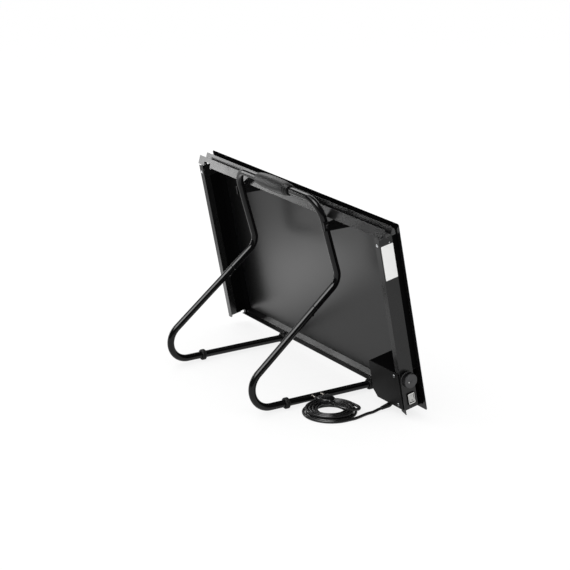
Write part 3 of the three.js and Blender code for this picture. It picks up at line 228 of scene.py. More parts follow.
class CordSizes(bpy.types.PropertyGroup):
    radius: length_of("Cord radius", "Radius of the mains cord", 2.6)
    coil_outer: length_of("Coil radius", "Radius of the outermost loop", 48.2)
    coil_pitch: length_of("Coil pitch", "Distance between neighbouring loops", 5.8)
    layer_rise: length_of("Layer rise", "Height of one layer over the next", 5.7)
    steps: count_of("Steps", "Points in each turn of the coil", 48, 12)


class Colours(bpy.types.PropertyGroup):
    panel: colour_of("Panel", "Paint of the panel", (0.0055, 0.0055, 0.0058))
    sheet: colour_of("Sheet", "Paint of rails and box", (0.0030, 0.0030, 0.0032))
    tube: colour_of("Tube", "Paint of the stand", (0.0024, 0.0024, 0.0026))
    knob: colour_of("Knob", "Plastic of the knob", (0.050, 0.050, 0.052))
    switch: colour_of("Switch", "Plastic of the switch", (0.52, 0.52, 0.505))
    floor: colour_of("Floor", "Pale floor", (0.80, 0.80, 0.80))


class StageSizes(bpy.types.PropertyGroup):
    azimuth: angle_of("Azimuth", "Camera's turn round the object", 237.78)
    elevation: angle_of("Elevation", "Camera's height over the horizon", 17.87)
    distance: length_of("Distance", "From the camera to its target", 3267.7)
    lens: FloatProperty(name="Lens", description="Focal length in millimetres", default=115.6, unit="CAMERA")
    target: FloatVectorProperty(
        name="Target",
        description="Where the camera looks",
        default=(0.0205, -0.03933, 0.16076),
        subtype="TRANSLATION",
    )
    sky: FloatProperty(name="Sky", description="Strength of the world on the object", default=0.95)
    side_lamp: power_of("Side lamp", "Power of the side lamp", 5.2)
    top_lamp: power_of("Top lamp", "Power of the top lamp", 12)
    front_lamp: power_of("Front lamp", "Power of the lamp in front", 6)


# Shapes.

# A radius below this lies on the axis, and a fillet takes at most this part of the side beside it.
ON_AXIS = 1e-7
FILLET_PART = 1 / 2.05

# The eased edge of sheet metal, and what counts as one corner and as one flat face beside it.
SHEET_EDGE = 0.3 * MM
SAME_CORNER = 0.005 * MM
SAME_FACE = math.radians(0.5)


def add_object(name, data):
    thing = bpy.data.objects.new(name, data)
    bpy.context.scene.collection.objects.link(thing)
    return thing


def make_object(name, mesh, crease=35):
    """A smooth-shaded object whose edges stay sharp above the crease angle in degrees."""
    mesh.polygons.foreach_set("use_smooth", [True] * len(mesh.polygons))
    mesh.set_sharp_from_angle(angle=math.radians(crease))
    return add_object(name, mesh)


def in_metres(pairs):
    return [(a * MM, b * MM) for a, b in pairs]


def place_on_turn(radius, angle, height):
    return (radius * math.cos(angle), radius * math.sin(angle), height)


def mesh_from(name, corners, faces):
    work = bmesh.new()
    points = [work.verts.new(c) for c in corners]
    for face in faces:
        work.faces.new([points[i] for i in face])
    bmesh.ops.recalc_face_normals(work, faces=work.faces)
    mesh = bpy.data.meshes.new(name)
    work.to_mesh(mesh)
    work.free()
    return mesh


def loft(name, rings, closed=False):
    """A mesh over rings of equally many points, with flat ends unless the last ring joins the first."""
    count = len(rings[0])
    corners = [p for ring in rings for p in ring]
    faces = []
    spans = len(rings) if closed else len(rings) - 1
    for i in range(spans):
        low, high = i * count, (i + 1) % len(rings) * count
        for j in range(count):
            k = (j + 1) % count
            faces.append((low + j, low + k, high + k, high + j))
    if not closed:
        faces.append(tuple(range(count)))
        faces.append(tuple(range((len(rings) - 1) * count, len(rings) * count)))
    return mesh_from(name, corners, faces)


def circle(radius, sides):
    turn = 2 * math.pi / sides
    return [(radius * math.cos(turn * i), radius * math.sin(turn * i)) for i in range(sides)]


def frame_to(way):
    """The turn that takes +Z to a direction and keeps a fixed side."""
    way = way.normalized()
    side = TO_LEFT if abs(way.x) < 0.9 else TO_REAR
    across = way.cross(side).normalized()
    return Matrix((across.cross(way), across, way)).transposed().to_4x4()


def aimed(place, way):
    return Matrix.Translation(place) @ frame_to(way)


def lathe(name, profile, sides, closed=False, bump=None):
    """A turned mesh about +Z from (radius, height) pairs in metres; bump changes a radius by its angle."""
    corners, rows, faces = [], [], []
    for r, h in profile:
        if r < ON_AXIS:
            rows.append([len(corners)] * sides)
            corners.append((0, 0, h))
            continue
        row = []
        for j in range(sides):
            angle = 2 * math.pi * j / sides
            reach = r + (bump(r, h, angle) if bump else 0)
            row.append(len(corners))
            corners.append(place_on_turn(reach, angle, h))
        rows.append(row)
    spans = len(rows) if closed else len(rows) - 1
    for i in range(spans):
        low, high = rows[i], rows[(i + 1) % len(rows)]
        for j in range(sides):
            k = (j + 1) % sides
            face = []
            for corner in (low[j], low[k], high[k], high[j]):
                if corner not in face:
                    face.append(corner)
            if len(face) > 2:
                faces.append(face)
    return mesh_from(name, corners, faces)


def filleted(pairs, radius, closed=True, steps=4):
    """A polygon of (a, b) pairs with rounded corners; a third number in a corner is its own radius."""
    out = []
    count = len(pairs)
    for i, corner in enumerate(pairs):
        here = Vector(corner[:2])
        wanted = corner[2] if len(corner) > 2 else radius
        if wanted <= 0 or (not closed and i in (0, count - 1)):
            out.append(tuple(here))
            continue
        before = Vector(pairs[i - 1][:2]) - here
        after = Vector(pairs[(i + 1) % count][:2]) - here
        bend = before.angle(after)
        longest = min(before.length, after.length) * FILLET_PART
        reach = min(wanted / math.tan(bend / 2), longest)
        start, end = here + before.normalized() * reach, here + after.normalized() * reach
        for k in range(steps + 1):
            t = k / steps
            out.append(tuple(start.lerp(here, t).lerp(here.lerp(end, t), t)))
    return out


def bent_line(corners, radii, step=math.radians(3)):
    """Straights and arcs through given corners."""
    line = [corners[0]]
    for i in range(1, len(corners) - 1):
        before = (corners[i] - corners[i - 1]).normalized()
        after = (corners[i + 1] - corners[i]).normalized()
        turn = before.angle(after)
        radius = radii[i - 1]
        start = corners[i] - before * radius * math.tan(turn / 2)
        normal = before.cross(after).normalized()
        inward = normal.cross(before)
        steps = max(2, math.ceil(turn / step))
        support = radius * turn / steps / 2
        line.append(start - before * support)
        for k in range(steps + 1):
            angle = turn * k / steps
            line.append(start + before * radius * math.sin(angle) + inward * radius * (1 - math.cos(angle)))
        line.append(line[-1] + after * support)
    line.append(corners[-1])
    return line


def carried_frames(line):
    """The side and the upright at each point of a line, carried along it without twist."""
    frames = []
    side = None
    for i in range(len(line)):
        way = (line[min(i + 1, len(line) - 1)] - line[max(i - 1, 0)]).normalized()
        side = way.orthogonal() if side is None else side - way * side.dot(way)
        side = side.normalized()
        frames.append((side, way.cross(side)))
    return frames


def ring_at(point, frames, radius, sides):
    side, upright = frames
    return [point + side * a + upright * b for a, b in circle(radius, sides)]


def tube_mesh(name, line, radius, wall, sides):
    """A hollow tube along a line, with eased rims at both ends."""
    start_way = (line[1] - line[0]).normalized()
    end_way = (line[-2] - line[-1]).normalized()

    # Each step of a rim by its distance from the end and what it takes off the radius.
    ease = wall / 3
    eased = [(0, ease), (ease * 0.3, ease * 0.3), (ease, 0), (ease * 2.5, 0)]
    points = [line[0] + start_way * a for a, _ in eased]
    points += line[1:-1]
    points += [line[-1] + end_way * a for a, _ in reversed(eased)]
    shrink = [b for _, b in eased] + [0] * (len(line) - 2) + [b for _, b in reversed(eased)]
    frames = carried_frames(points)
    outer = [ring_at(p, f, radius - s, sides) for p, f, s in zip(points, frames, shrink)]
    inner = [ring_at(p, f, radius - wall, sides) for p, f in zip(points, frames)]
    return loft(name, outer + inner[::-1], closed=True)


def smooth_line(points, spacing):
    """A centripetal curve through listed points, sampled at about the given spacing."""
    line = []
    for i in range(len(points) - 1):
        p1, p2 = points[i], points[i + 1]
        p0 = points[i - 1] if i else p1 * 2 - p2
        p3 = points[i + 2] if i + 2 < len(points) else p2 * 2 - p1
        d0, d1, d2 = (math.sqrt((b - a).length) for a, b in ((p0, p1), (p1, p2), (p2, p3)))
        t1 = ((p1 - p0) / d0 - (p2 - p0) / (d0 + d1) + (p2 - p1) / d1) * d1
        t2 = ((p2 - p1) / d1 - (p3 - p1) / (d1 + d2) + (p3 - p2) / d2) * d1
        steps = max(1, round((p2 - p1).length / spacing))
        for k in range(steps):
            t = k / steps
            line.append(
                p1 * (2 * t**3 - 3 * t**2 + 1)
                + t1 * (t**3 - 2 * t**2 + t)
                + p2 * (-2 * t**3 + 3 * t**2)
                + t2 * (t**3 - t**2)
            )
    line.append(points[-1])
    return line


def relaxed(line, passes):
    """The same line with each inner point drawn towards its neighbours."""
    for _ in range(passes):
        inner = [(a + b * 2 + c) / 4 for a, b, c in zip(line, line[1:], line[2:])]
        line = [line[0], *inner, line[-1]]
    return line


def lofted(name, rings, crease=35, closed=False):
    return make_object(name, loft(name, rings, closed), crease)


def slab(name, outline, low, high, place):
    """A slab over an outline of (a, b) pairs, set in place by a function of a, b and the slab's depth."""
    return lofted(name, [[place(a, b, depth) for a, b in outline] for depth in (low, high)])


def rounded_rectangle(a0, b0, a1, b1, radius, steps=5):
    return filleted([(a0, b0), (a1, b0), (a1, b1), (a0, b1)], radius, steps=steps)


def ease_edges(piece, width, segments=2, angle=30):
    bevel = piece.modifiers.new("Eased edges", "BEVEL")
    bevel.width = width
    bevel.segments = segments
    bevel.limit_method = "ANGLE"
    bevel.angle_limit = math.radians(angle)
    bevel.harden_normals = True
    bevel.miter_outer = "MITER_ARC"


def ease_node(name):
    """Softens the edges of a carried-over sheet-metal or moulded node."""
    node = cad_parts[name]
    mesh = node.data
    if "custom_normal" in mesh.attributes:
        mesh.attributes.remove(mesh.attributes["custom_normal"])
    mesh.polygons.foreach_set("use_smooth", [True] * len(mesh.polygons))
    weld = node.modifiers.new("Joined corners", "WELD")
    weld.merge_threshold = SAME_CORNER
    planar = node.modifiers.new("Whole faces", "DECIMATE")
    planar.decimate_type = "DISSOLVE"
    planar.angle_limit = SAME_FACE
    planar.delimit = {"MATERIAL"}
    ease_edges(node, SHEET_EDGE)


# Finishes.


def feed(tree, socket, value):
    """Links an output to a socket, or sets the socket to a plain number or place."""
    if isinstance(value, bpy.types.NodeSocket):
        tree.links.new(value, socket)
    else:
        socket.default_value = value


def new_group(name, inputs, outputs):
    group = bpy.data.node_groups.new(name, "ShaderNodeTree")
    for label, value in inputs:
        socket = group.interface.new_socket(name=label, in_out="INPUT", socket_type="NodeSocketFloat")
        socket.default_value = value
    for label in outputs:
        group.interface.new_socket(name=label, in_out="OUTPUT", socket_type="NodeSocketFloat")
    return group, group.nodes.new("NodeGroupInput"), group.nodes.new("NodeGroupOutput")


def math_node(tree, operation, first, second):
    node = tree.nodes.new("ShaderNodeMath")
    node.operation = operation
    feed(tree, node.inputs[0], first)
    feed(tree, node.inputs[1], second)
    return node.outputs[0]


def vector_node(tree, operation, first, second):
    node = tree.nodes.new("ShaderNodeVectorMath")
    node.operation = operation
    feed(tree, node.inputs[0], first)
    feed(tree, node.inputs[1], second)
    return node.outputs["Value"]


def coordinates(tree, kind="Object"):
    return tree.nodes.new("ShaderNodeTexCoord").outputs[kind]


def noise_node(tree, vector, scale, detail=3.0, rough=0.5):
    node = tree.nodes.new("ShaderNodeTexNoise")
    feed(tree, node.inputs["Vector"], vector)
    feed(tree, node.inputs["Scale"], scale)
    node.inputs["Detail"].default_value = detail
    node.inputs["Roughness"].default_value = rough
    return node.outputs["Fac"]


COARSE_SCALE = 0.23
FINE_PART, COARSE_PART = 0.6, 0.4
WEAR_AND_HIGHLIGHT_SCALE = 260.0


def grain_group():
    """Fine relief of paint or moulded plastic, with a slow drift of tone over it."""
    group, given, out = new_group(
        "Surface grain", [("Scale", 900.0), ("Drift scale", 14.0)], ["Height", "Drift"]
    )
    place = coordinates(group)
    fine = noise_node(group, place, given.outputs["Scale"], 2.0)
    wider = math_node(group, "MULTIPLY", given.outputs["Scale"], COARSE_SCALE)
    coarse = noise_node(group, place, wider, 2.0)
    fine_share = math_node(group, "MULTIPLY", fine, FINE_PART)
    coarse_share = math_node(group, "MULTIPLY", coarse, COARSE_PART)
    group.links.new(math_node(group, "ADD", fine_share, coarse_share), out.inputs["Height"])
    drift = noise_node(group, place, given.outputs["Drift scale"], 4.0, 0.6)
    group.links.new(drift, out.inputs["Drift"])
    return group


def wear_and_highlight_group():
    """A mask that is bright along outer edges: worn paint, and in part a painted highlight along them."""
    group, given, out = new_group("Edge wear", [("Radius", 0.0008), ("Amount", 0.5)], ["Mask"])
    bevel = group.nodes.new("ShaderNodeBevel")
    bevel.samples = 4
    group.links.new(given.outputs["Radius"], bevel.inputs["Radius"])
    geometry = group.nodes.new("ShaderNodeNewGeometry")
    flat = vector_node(group, "DOT_PRODUCT", bevel.outputs["Normal"], geometry.outputs["Normal"])
    edge = math_node(group, "SUBTRACT", 1.0, flat)
    patchy = noise_node(group, coordinates(group), WEAR_AND_HIGHLIGHT_SCALE, 4.0, 0.7)
    edge = math_node(group, "MULTIPLY", edge, math_node(group, "MULTIPLY", patchy, given.outputs["Amount"]))
    clamp = group.nodes.new("ShaderNodeClamp")
    group.links.new(edge, clamp.inputs["Value"])
    group.links.new(clamp.outputs["Result"], out.inputs["Mask"])
    return group


def dust_group():
    """A mask of thin dust, thicker where a surface faces up."""
    group, given, out = new_group("Thin dust", [("Amount", 0.05), ("Scale", 90.0)], ["Mask"])
    geometry = group.nodes.new("ShaderNodeNewGeometry")
    split = group.nodes.new("ShaderNodeSeparateXYZ")
    group.links.new(geometry.outputs["Normal"], split.inputs[0])
    up = math_node(group, "ADD", math_node(group, "MULTIPLY", split.outputs["Z"], 0.5), 0.5)
    specks = noise_node(group, coordinates(group), given.outputs["Scale"], 6.0, 0.75)
    amount = math_node(group, "MULTIPLY", math_node(group, "MULTIPLY", up, specks), given.outputs["Amount"])
    group.links.new(amount, out.inputs["Mask"])
    return group


GROUPS = {}
FINISHES = {}

DUST_COLOUR = (0.32, 0.31, 0.30)
# Lighter colour of worn edges, which also stands in for part of their highlights: painted highlight as well
# as wear.
WORN_AND_HIGHLIGHT_COLOUR = (0.2, 0.2, 0.2)
BLACK = (0.0045, 0.0045, 0.0048)

# Each finish by its colour, or the setting that holds it, its roughness and what else sets it apart.
LOOKS = {
    "panel_paint": (
        "panel",
        0.31,
        dict(grain=700, depth=0.005, drift=5, spread_of=0.02, dust=0.008, wear=0.2),
    ),
    # Painted shade: a matt copy of the sheet paint with no gloss, for faces that are to look shaded.
    "fold_paint": ("sheet", 0.8, dict(specular=0.0, grain=700, depth=0.01, dust=0.004)),
    # Its worn edges are raised partly to stand in for light edge lines: painted highlight as well as wear.
    "black_paint": ("sheet", 0.27, dict(specular=0.6, grain=950, depth=0.0015, dust=0.008, wear=0.5)),
    "foot_paint": ("sheet", 0.34, dict(specular=0.42, grain=950, depth=0.006, dust=0.008, wear=0.3)),
    "box_paint": ("sheet", 0.42, dict(specular=0.13, grain=950, depth=0.008, dust=0.010, wear=0.3)),
    "tube_paint": ("tube", 0.16, dict(specular=0.38, grain=800, depth=0.004, drift=20, dust=0.006)),
    "grey_plastic": ("knob", 0.42, dict(specular=0.45, grain=1600, depth=0.015, tone=0.1)),
    "pale_plastic": ("switch", 0.38, dict(grain=1400, depth=0.008, tone=0.04, dust=0.06)),
    "frame_plastic": ((0.86, 0.86, 0.84), 0.3, dict(grain=1400, depth=0.004, tone=0.02, dust=0.02)),
    "black_plastic": (BLACK, 0.2, dict(specular=0.4, grain=1500, depth=0.006, tone=0.2, dust=0.008)),
    "grip_plastic": (BLACK, 0.43, dict(specular=0.42, grain=1500, depth=0.006, tone=0.2, dust=0.008)),
    "matt_plastic": ((0.003, 0.003, 0.0032), 0.5, dict(specular=0.1, grain=1500, depth=0.01, dust=0.004)),
    "rubber": ((0.006, 0.006, 0.006), 0.6, dict(specular=0.3, grain=1200, depth=0.03, dust=0.03)),
    "cord_rubber": ((0.006, 0.006, 0.0063), 0.26, dict(specular=0.6, grain=1000, depth=0.010, dust=0.015)),
    "zinc": (
        (0.26, 0.265, 0.27),
        0.34,
        dict(metallic=1.0, grain=1300, depth=0.01, drift=160, tone=0.12, spread_of=0.1),
    ),
    "bright_rivet": (
        (0.78, 0.79, 0.80),
        0.38,
        dict(metallic=1.0, grain=1300, depth=0.01, drift=160, tone=0.06),
    ),
    "pin_brass": ((0.30, 0.28, 0.25), 0.28, dict(metallic=1.0, depth=0.005, drift=120, tone=0.08)),
    "element_foil": (
        (0.50, 0.48, 0.44),
        0.4,
        dict(metallic=1.0, grain=300, depth=0.05, drift=40, tone=0.15),
    ),
    "mineral_board": (
        (0.62, 0.57, 0.47),
        0.9,
        dict(specular=0.2, grain=520, depth=0.12, drift=60, tone=0.12),
    ),
    "live_sleeve": ((0.20, 0.07, 0.03), 0.5, dict(grain=1100, depth=0.01, tone=0.1)),
    "neutral_sleeve": ((0.03, 0.08, 0.26), 0.5, dict(grain=1100, depth=0.01, tone=0.1)),
    "plate_white": (
        (0.93, 0.93, 0.92),
        0.4,
        dict(specular=0.4, grain=600, depth=0.004, tone=0.015, dust=0.01),
    ),
    "mark_white": ((0.75, 0.75, 0.73), 0.45, dict(grain=1600, depth=0.004, tone=0.03)),
    "mark_dark": ((0.03, 0.03, 0.03), 0.5, dict(grain=1600, depth=0.004, tone=0.05)),
}


def effect(tree, name, **values):
    if not GROUPS:
        GROUPS.update(grain=grain_group(), wear=wear_and_highlight_group(), dust=dust_group())
    node = tree.nodes.new("ShaderNodeGroup")
    node.node_tree = GROUPS[name]
    for label, value in values.items():
        node.inputs[label.replace("_", " ")].default_value = value
    return node


def blend_colours(tree, mask, first, second):
    node = tree.nodes.new("ShaderNodeMix")
    node.data_type = "RGBA"
    tree.links.new(mask, node.inputs["Factor"])
    for label, value in (("A", first), ("B", second)):
        feed(tree, node.inputs[label], (*value, 1) if isinstance(value, tuple) else value)
    return node.outputs["Result"]


def spread(tree, value, low, high, over=(0.3, 0.7)):
    """Maps a value that runs over a range to another range."""
    node = tree.nodes.new("ShaderNodeMapRange")
    tree.links.new(value, node.inputs["Value"])
    for label, number in zip(("From Min", "From Max", "To Min", "To Max"), (*over, low, high)):
        node.inputs[label].default_value = number
    return node.outputs["Result"]


def new_tree(block):
    """The emptied node tree of a new material or world, with its output."""
    block.use_nodes = True
    tree = block.node_tree
    tree.nodes.clear()
    kind = "ShaderNodeOutputWorld" if isinstance(block, bpy.types.World) else "ShaderNodeOutputMaterial"
    return tree, tree.nodes.new(kind).inputs["Surface"]


def coated(
    name,
    colour,
    roughness,
    *,
    specular=0.5,
    metallic=0.0,
    grain=900.0,
    depth=0.02,
    drift=14.0,
    tone=0.25,
    spread_of=0.05,
    dust=0.03,
    wear=0.0,
):
    """A painted, moulded or plated finish with grain, drifting tone and gloss, thin dust, and worn edges
    that are partly painted highlight.
    """
    finish = bpy.data.materials.new(name)
    tree, surface = new_tree(finish)
    shader = tree.nodes.new("ShaderNodeBsdfPrincipled")
    tree.links.new(shader.outputs["BSDF"], surface)
    relief = effect(tree, "grain", Scale=grain, Drift_scale=drift)
    dusty = effect(tree, "dust", Amount=dust)
    light = tuple(min(1.0, c * (1 + tone)) for c in colour)
    dark = tuple(c * (1 - tone) for c in colour)
    body = blend_colours(tree, relief.outputs["Drift"], dark, light)
    body = blend_colours(tree, dusty.outputs["Mask"], body, DUST_COLOUR)
    # Worn edges, lighter partly as painted highlight.
    if wear > 0:
        edges = effect(tree, "wear", Amount=wear)
        body = blend_colours(tree, edges.outputs["Mask"], body, WORN_AND_HIGHLIGHT_COLOUR)
    tree.links.new(body, shader.inputs["Base Color"])
    gloss = spread(tree, relief.outputs["Drift"], roughness - spread_of, roughness + spread_of)
    tree.links.new(gloss, shader.inputs["Roughness"])
    bump = tree.nodes.new("ShaderNodeBump")
    bump.inputs["Distance"].default_value = depth * MM
    tree.links.new(relief.outputs["Height"], bump.inputs["Height"])
    tree.links.new(bump.outputs["Normal"], shader.inputs["Normal"])
    shader.inputs["Metallic"].default_value = metallic
    shader.inputs["Specular IOR Level"].default_value = specular
    return finish


def finish_of(name):
    if name not in FINISHES:
        colour, roughness, rest = LOOKS[name]
        if isinstance(colour, str):
            colour = tuple(getattr(bpy.context.scene.heater_colours, colour))
        FINISHES[name] = coated(name, colour, roughness, **rest)
    return FINISHES[name]


def dress(piece, finish):
    piece.data.materials.clear()
    piece.data.materials.append(finish_of(finish))


def dress_nodes(finish, *names):
    for name in names:
        dress(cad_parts[name], finish)


def dull_faces(piece, finish, chosen):
    """Gives the chosen faces of a piece a finish of their own."""
    mesh = piece.data
    mesh.materials.append(finish_of(finish))
    for face in mesh.polygons:
        if chosen(face):
            face.material_index = len(mesh.materials) - 1


def settle(piece, finish, body="heater", nodes=()):
    """Gives a new piece its finish, the nodes that it stands for and the body that it rides on."""
    dress(piece, finish)
    if nodes:
        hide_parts(*nodes)
    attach(piece, body)
    return piece


def turned(name, profile, sides, place, way, crease=35, closed=False, bump=None):
    """A turned piece with its foot at a place and its axis along a direction."""
    piece = make_object(name, lathe(name, profile, sides, closed=closed, bump=bump), crease)
    piece.matrix_world = aimed(place, way)
    return piece


# Stage.

FLOOR_REACH = 30
FLOOR_GLOW = 1.08
FLOOR_WHITE = 0.74
# A painted pool of light on the floor, seen only in gloss: its middle, its reach, its glow near and far, and
# its share.
POOL_PLACE = (0.37, 0.03, 0)
POOL_REACH = (0.05, 0.25)
POOL_NEAR, POOL_FAR = 1.85, 0.59
POOL_SHARE = 0.82
DARK_SIDE = (-0.805, 0.507, 0.307)
DARK_EDGE = (-0.85, -0.35)
WALL_LIGHT, WALL_DARK = 1.0, 0.05
WINDOW_SIDE = (-0.189, 0.465, 0.864)
WINDOW_EDGE = (0.9, 0.975)
WINDOW_STRENGTH = 7.5

# Each lamp by its place, what it is aimed at, its width and its height.
LAMPS = {
    "side_lamp": ((1.5, 0.78, 0.48), (0.2, 0.0, 0.25), 0.3, 0.9),
    "top_lamp": ((0.9, 0.9, 2.4), (0, 0, 0.15), 1.4, 1.4),
    "front_lamp": ((1.9, -0.6, 1.6), (0, 0, 0.25), 0.9, 0.9),
}


def mix_shaders(tree, factor, first, second):
    node = tree.nodes.new("ShaderNodeMixShader")
    for socket, value in zip(node.inputs, (factor, first, second)):
        feed(tree, socket, value)
    return node.outputs[0]


def seen_directly(tree):
    """One for rays from the camera, off gloss or through glass, nought for the rest."""
    path = tree.nodes.new("ShaderNodeLightPath")
    gloss = math_node(tree, "MAXIMUM", path.outputs["Is Glossy Ray"], path.outputs["Is Transmission Ray"])
    return path.outputs["Is Glossy Ray"], math_node(tree, "MAXIMUM", path.outputs["Is Camera Ray"], gloss)


def glowing(tree, kind, strength):
    node = tree.nodes.new(kind)
    feed(tree, node.inputs["Strength"], strength)
    node.inputs["Color"].default_value = (1, 1, 1, 1)
    return node.outputs[0]


def make_floor():
    mesh = bpy.data.meshes.new("floor")
    corners = [(x * FLOOR_REACH, y * FLOOR_REACH, 0) for x, y in ((-1, -1), (1, -1), (1, 1), (-1, 1))]
    mesh.from_pydata(corners, [], [(0, 1, 2, 3)])
    floor = add_object("floor", mesh)
    finish = bpy.data.materials.new("pale floor")
    tree, surface = new_tree(finish)
    diffuse = tree.nodes.new("ShaderNodeBsdfDiffuse")
    diffuse.inputs["Color"].default_value = (*bpy.context.scene.heater_colours.floor, 1)
    matt = diffuse.outputs[0]
    glossy, direct = seen_directly(tree)
    seen = mix_shaders(tree, FLOOR_WHITE, matt, glowing(tree, "ShaderNodeEmission", FLOOR_GLOW))

    # Painted pool of light: in gloss the floor glows brightest beside the heater and falls off from there.
    far = vector_node(tree, "DISTANCE", coordinates(tree), POOL_PLACE)
    painted_pool = glowing(tree, "ShaderNodeEmission", spread(tree, far, POOL_NEAR, POOL_FAR, POOL_REACH))
    mirrored = mix_shaders(tree, POOL_SHARE, matt, painted_pool)
    gloss = mix_shaders(tree, glossy, seen, mirrored)
    tree.links.new(mix_shaders(tree, direct, matt, gloss), surface)
    floor.data.materials.append(finish)


def make_world(strength):
    """An even sky, white where it is seen, and in gloss a dark-sided studio with one soft window."""
    world = bpy.data.worlds.new("studio")
    bpy.context.scene.world = world
    tree, surface = new_tree(world)
    way = coordinates(tree, "Generated")
    walls = vector_node(tree, "DOT_PRODUCT", way, DARK_SIDE)
    walls = spread(tree, walls, WALL_LIGHT, WALL_DARK, DARK_EDGE)
    window = vector_node(tree, "DOT_PRODUCT", way, WINDOW_SIDE)
    window = spread(tree, window, 0.0, WINDOW_STRENGTH, WINDOW_EDGE)
    mirrored = math_node(tree, "ADD", walls, window)
    lit, white, studio = (glowing(tree, "ShaderNodeBackground", s) for s in (strength, 1.0, mirrored))
    glossy, direct = seen_directly(tree)
    seen = mix_shaders(tree, glossy, white, studio)
    tree.links.new(mix_shaders(tree, direct, lit, seen), surface)


def add_lamp(name, place, target, width, height, power):
    data = bpy.data.lights.new(name, "AREA")
    data.shape = "RECTANGLE"
    data.size = width
    data.size_y = height
    data.energy = power
    lamp = add_object(name, data)
    lamp.location = place
    lamp.rotation_mode = "QUATERNION"
    lamp.rotation_quaternion = (Vector(target) - Vector(place)).to_track_quat("-Z", "Y")
    lamp.visible_camera = False


def make_camera(stage):
    data = bpy.data.cameras.new("camera")
    data.lens = stage.lens
    data.sensor_width = 36
    data.clip_start = 0.05
    data.clip_end = 100
    camera = add_object("camera", data)
    a, e = stage.azimuth, stage.elevation
    back = Vector((math.sin(a) * math.cos(e), -math.cos(a) * math.cos(e), math.sin(e)))
    camera.location = Vector(stage.target) + back * stage.distance
    camera.rotation_mode = "QUATERNION"
    camera.rotation_quaternion = (-back).to_track_quat("-Z", "Y")
    bpy.context.scene.camera = camera


class HEATER_OT_stage(bpy.types.Operator):
    """Pale floor, plain soft light and the camera"""

    bl_idname = "heater.stage"
    bl_label = "Stage"

    def execute(self, context):
        scene = context.scene
        scene.view_settings.view_transform = "Standard"
        stage = scene.heater_stage
        make_camera(stage)
        make_floor()
        make_world(stage.sky)
        for name, row in LAMPS.items():
            add_lamp(name.replace("_", " "), *row, getattr(stage, name))
        return {"FINISHED"}


# Cord, strain relief and plug.

POINT_SPACING = 3 * MM
TAIL_PASSES = 3

# The boot of the strain relief: its radii at root and tip, and its grooves, plain ends and eased mouth.
BOOT_BEND = 8
BOOT_ROOT, BOOT_TIP = 5.4, 3.3
BOOT_STEP = 0.35
BOOT_PITCH = 3.1
BOOT_RIB = 0.62
BOOT_PLAIN = (7.5, 2.5)
BOOT_GROOVE = (0.55, 0.2)
BOOT_MOUTH = 0.6
BOOT_MOUTH_SLOPE = 0.7
FLANGE = [(5.0, 0), (7.5, 0), (7.5, 2.4), (5.0, 2.4)]
FLANGE_SEAT = 1.2

# The plug along its length: distance from the cord, half width, half height and squareness.
PLUG_SIDES = 40
PLUG_SECTIONS = [
    (0, 3.3, 3.3, 2),
    (0.4, 3.6, 3.6, 2),
    (2.0, 3.7, 3.7, 2),
    (2.3, 3.25, 3.25, 2),
    (3.3, 3.25, 3.25, 2),
    (3.6, 3.9, 3.9, 2),
    (5.2, 4.0, 4.0, 2),
    (5.5, 3.5, 3.5, 2),
    (6.5, 3.5, 3.5, 2),
    (6.8, 4.2, 4.2, 2),
    (8.6, 4.4, 4.4, 2),
    (10.2, 5.0, 4.6, 2.1),
    (11.4, 6.6, 5.2, 2.3),
    (13.0, 9.2, 6.0, 2.6),
    (15.5, 11.9, 6.5, 3.0),
    (19.0, 13.5, 6.8, 3.4),
    (25.0, 13.9, 6.8, 3.6),
    (31.0, 13.6, 6.7, 3.6),
    (34.2, 13.2, 6.4, 3.6),
    (35.4, 12.7, 5.9, 3.6),
    (35.9, 12.0, 5.2, 3.6),
]
PIN = [(0, 0), (2, 0), (2, 18.9, 1.4), (0, 18.9)]
PIN_SLEEVE = [(2, 0), (2.35, 0), (2.35, 8.5), (2, 8.5)]


def gland_line():
    mouth = on_panel(GLAND_X, GLAND_N, BOX_BOTTOM)
    start = on_panel(GLAND_X, GLAND_N, BOX_BOTTOM + FLANGE_SEAT + SEAT_GAP)
    corner = Vector((mouth.x, mouth.y - GLAND_TURN[0] * MM, mouth.z - GLAND_TURN[1] * MM))
    end = Vector((mouth.x, mouth.y + GLAND_REACH * MM, GLAND_END_Z * MM))
    return start, corner, end


def layer_heights(sizes):
    """The heights of the cord's middle in the lower and the upper layer of the coil."""
    lower = sizes.radius + CORD_LIFT * MM
    return lower, lower + sizes.layer_rise


def coil_line(sizes):
    centre = in_stand(*COIL_CENTRE, 0)
    floor_z, _ = layer_heights(sizes)
    reversal = LOWER_TURNS + CLIMB_TURNS / 2
    steps = round((LOWER_TURNS + CLIMB_TURNS + UPPER_TURNS) * sizes.steps)
    line = []
    for i in range(steps + 1):
        turns = i / sizes.steps
        climb = min(max((turns - LOWER_TURNS) / CLIMB_TURNS, 0), 1)
        radius = sizes.coil_outer - sizes.coil_pitch * (reversal - abs(turns - reversal))
        angle = math.pi - 2 * math.pi * turns
        rise = sizes.layer_rise * (1 - math.cos(math.pi * climb)) / 2
        x, y, z = place_on_turn(radius, angle, floor_z + rise)
        line.append(Vector((centre.x + x, centre.y + y, z)))
    run = 2 * sizes.radius
    way = line[-1] - line[-2]
    way.z = 0
    return [line[0] - TO_REAR * run, *line, line[-1] + way.normalized() * run]


def plug_start(sizes):
    _, top_z = layer_heights(sizes)
    height = top_z + sizes.radius + GAP + PLUG_THICKNESS / 2 * MM
    return over_floor(COIL_CENTRE[0] + PLUG_PLACE[0], COIL_CENTRE[1] + PLUG_PLACE[1], height)


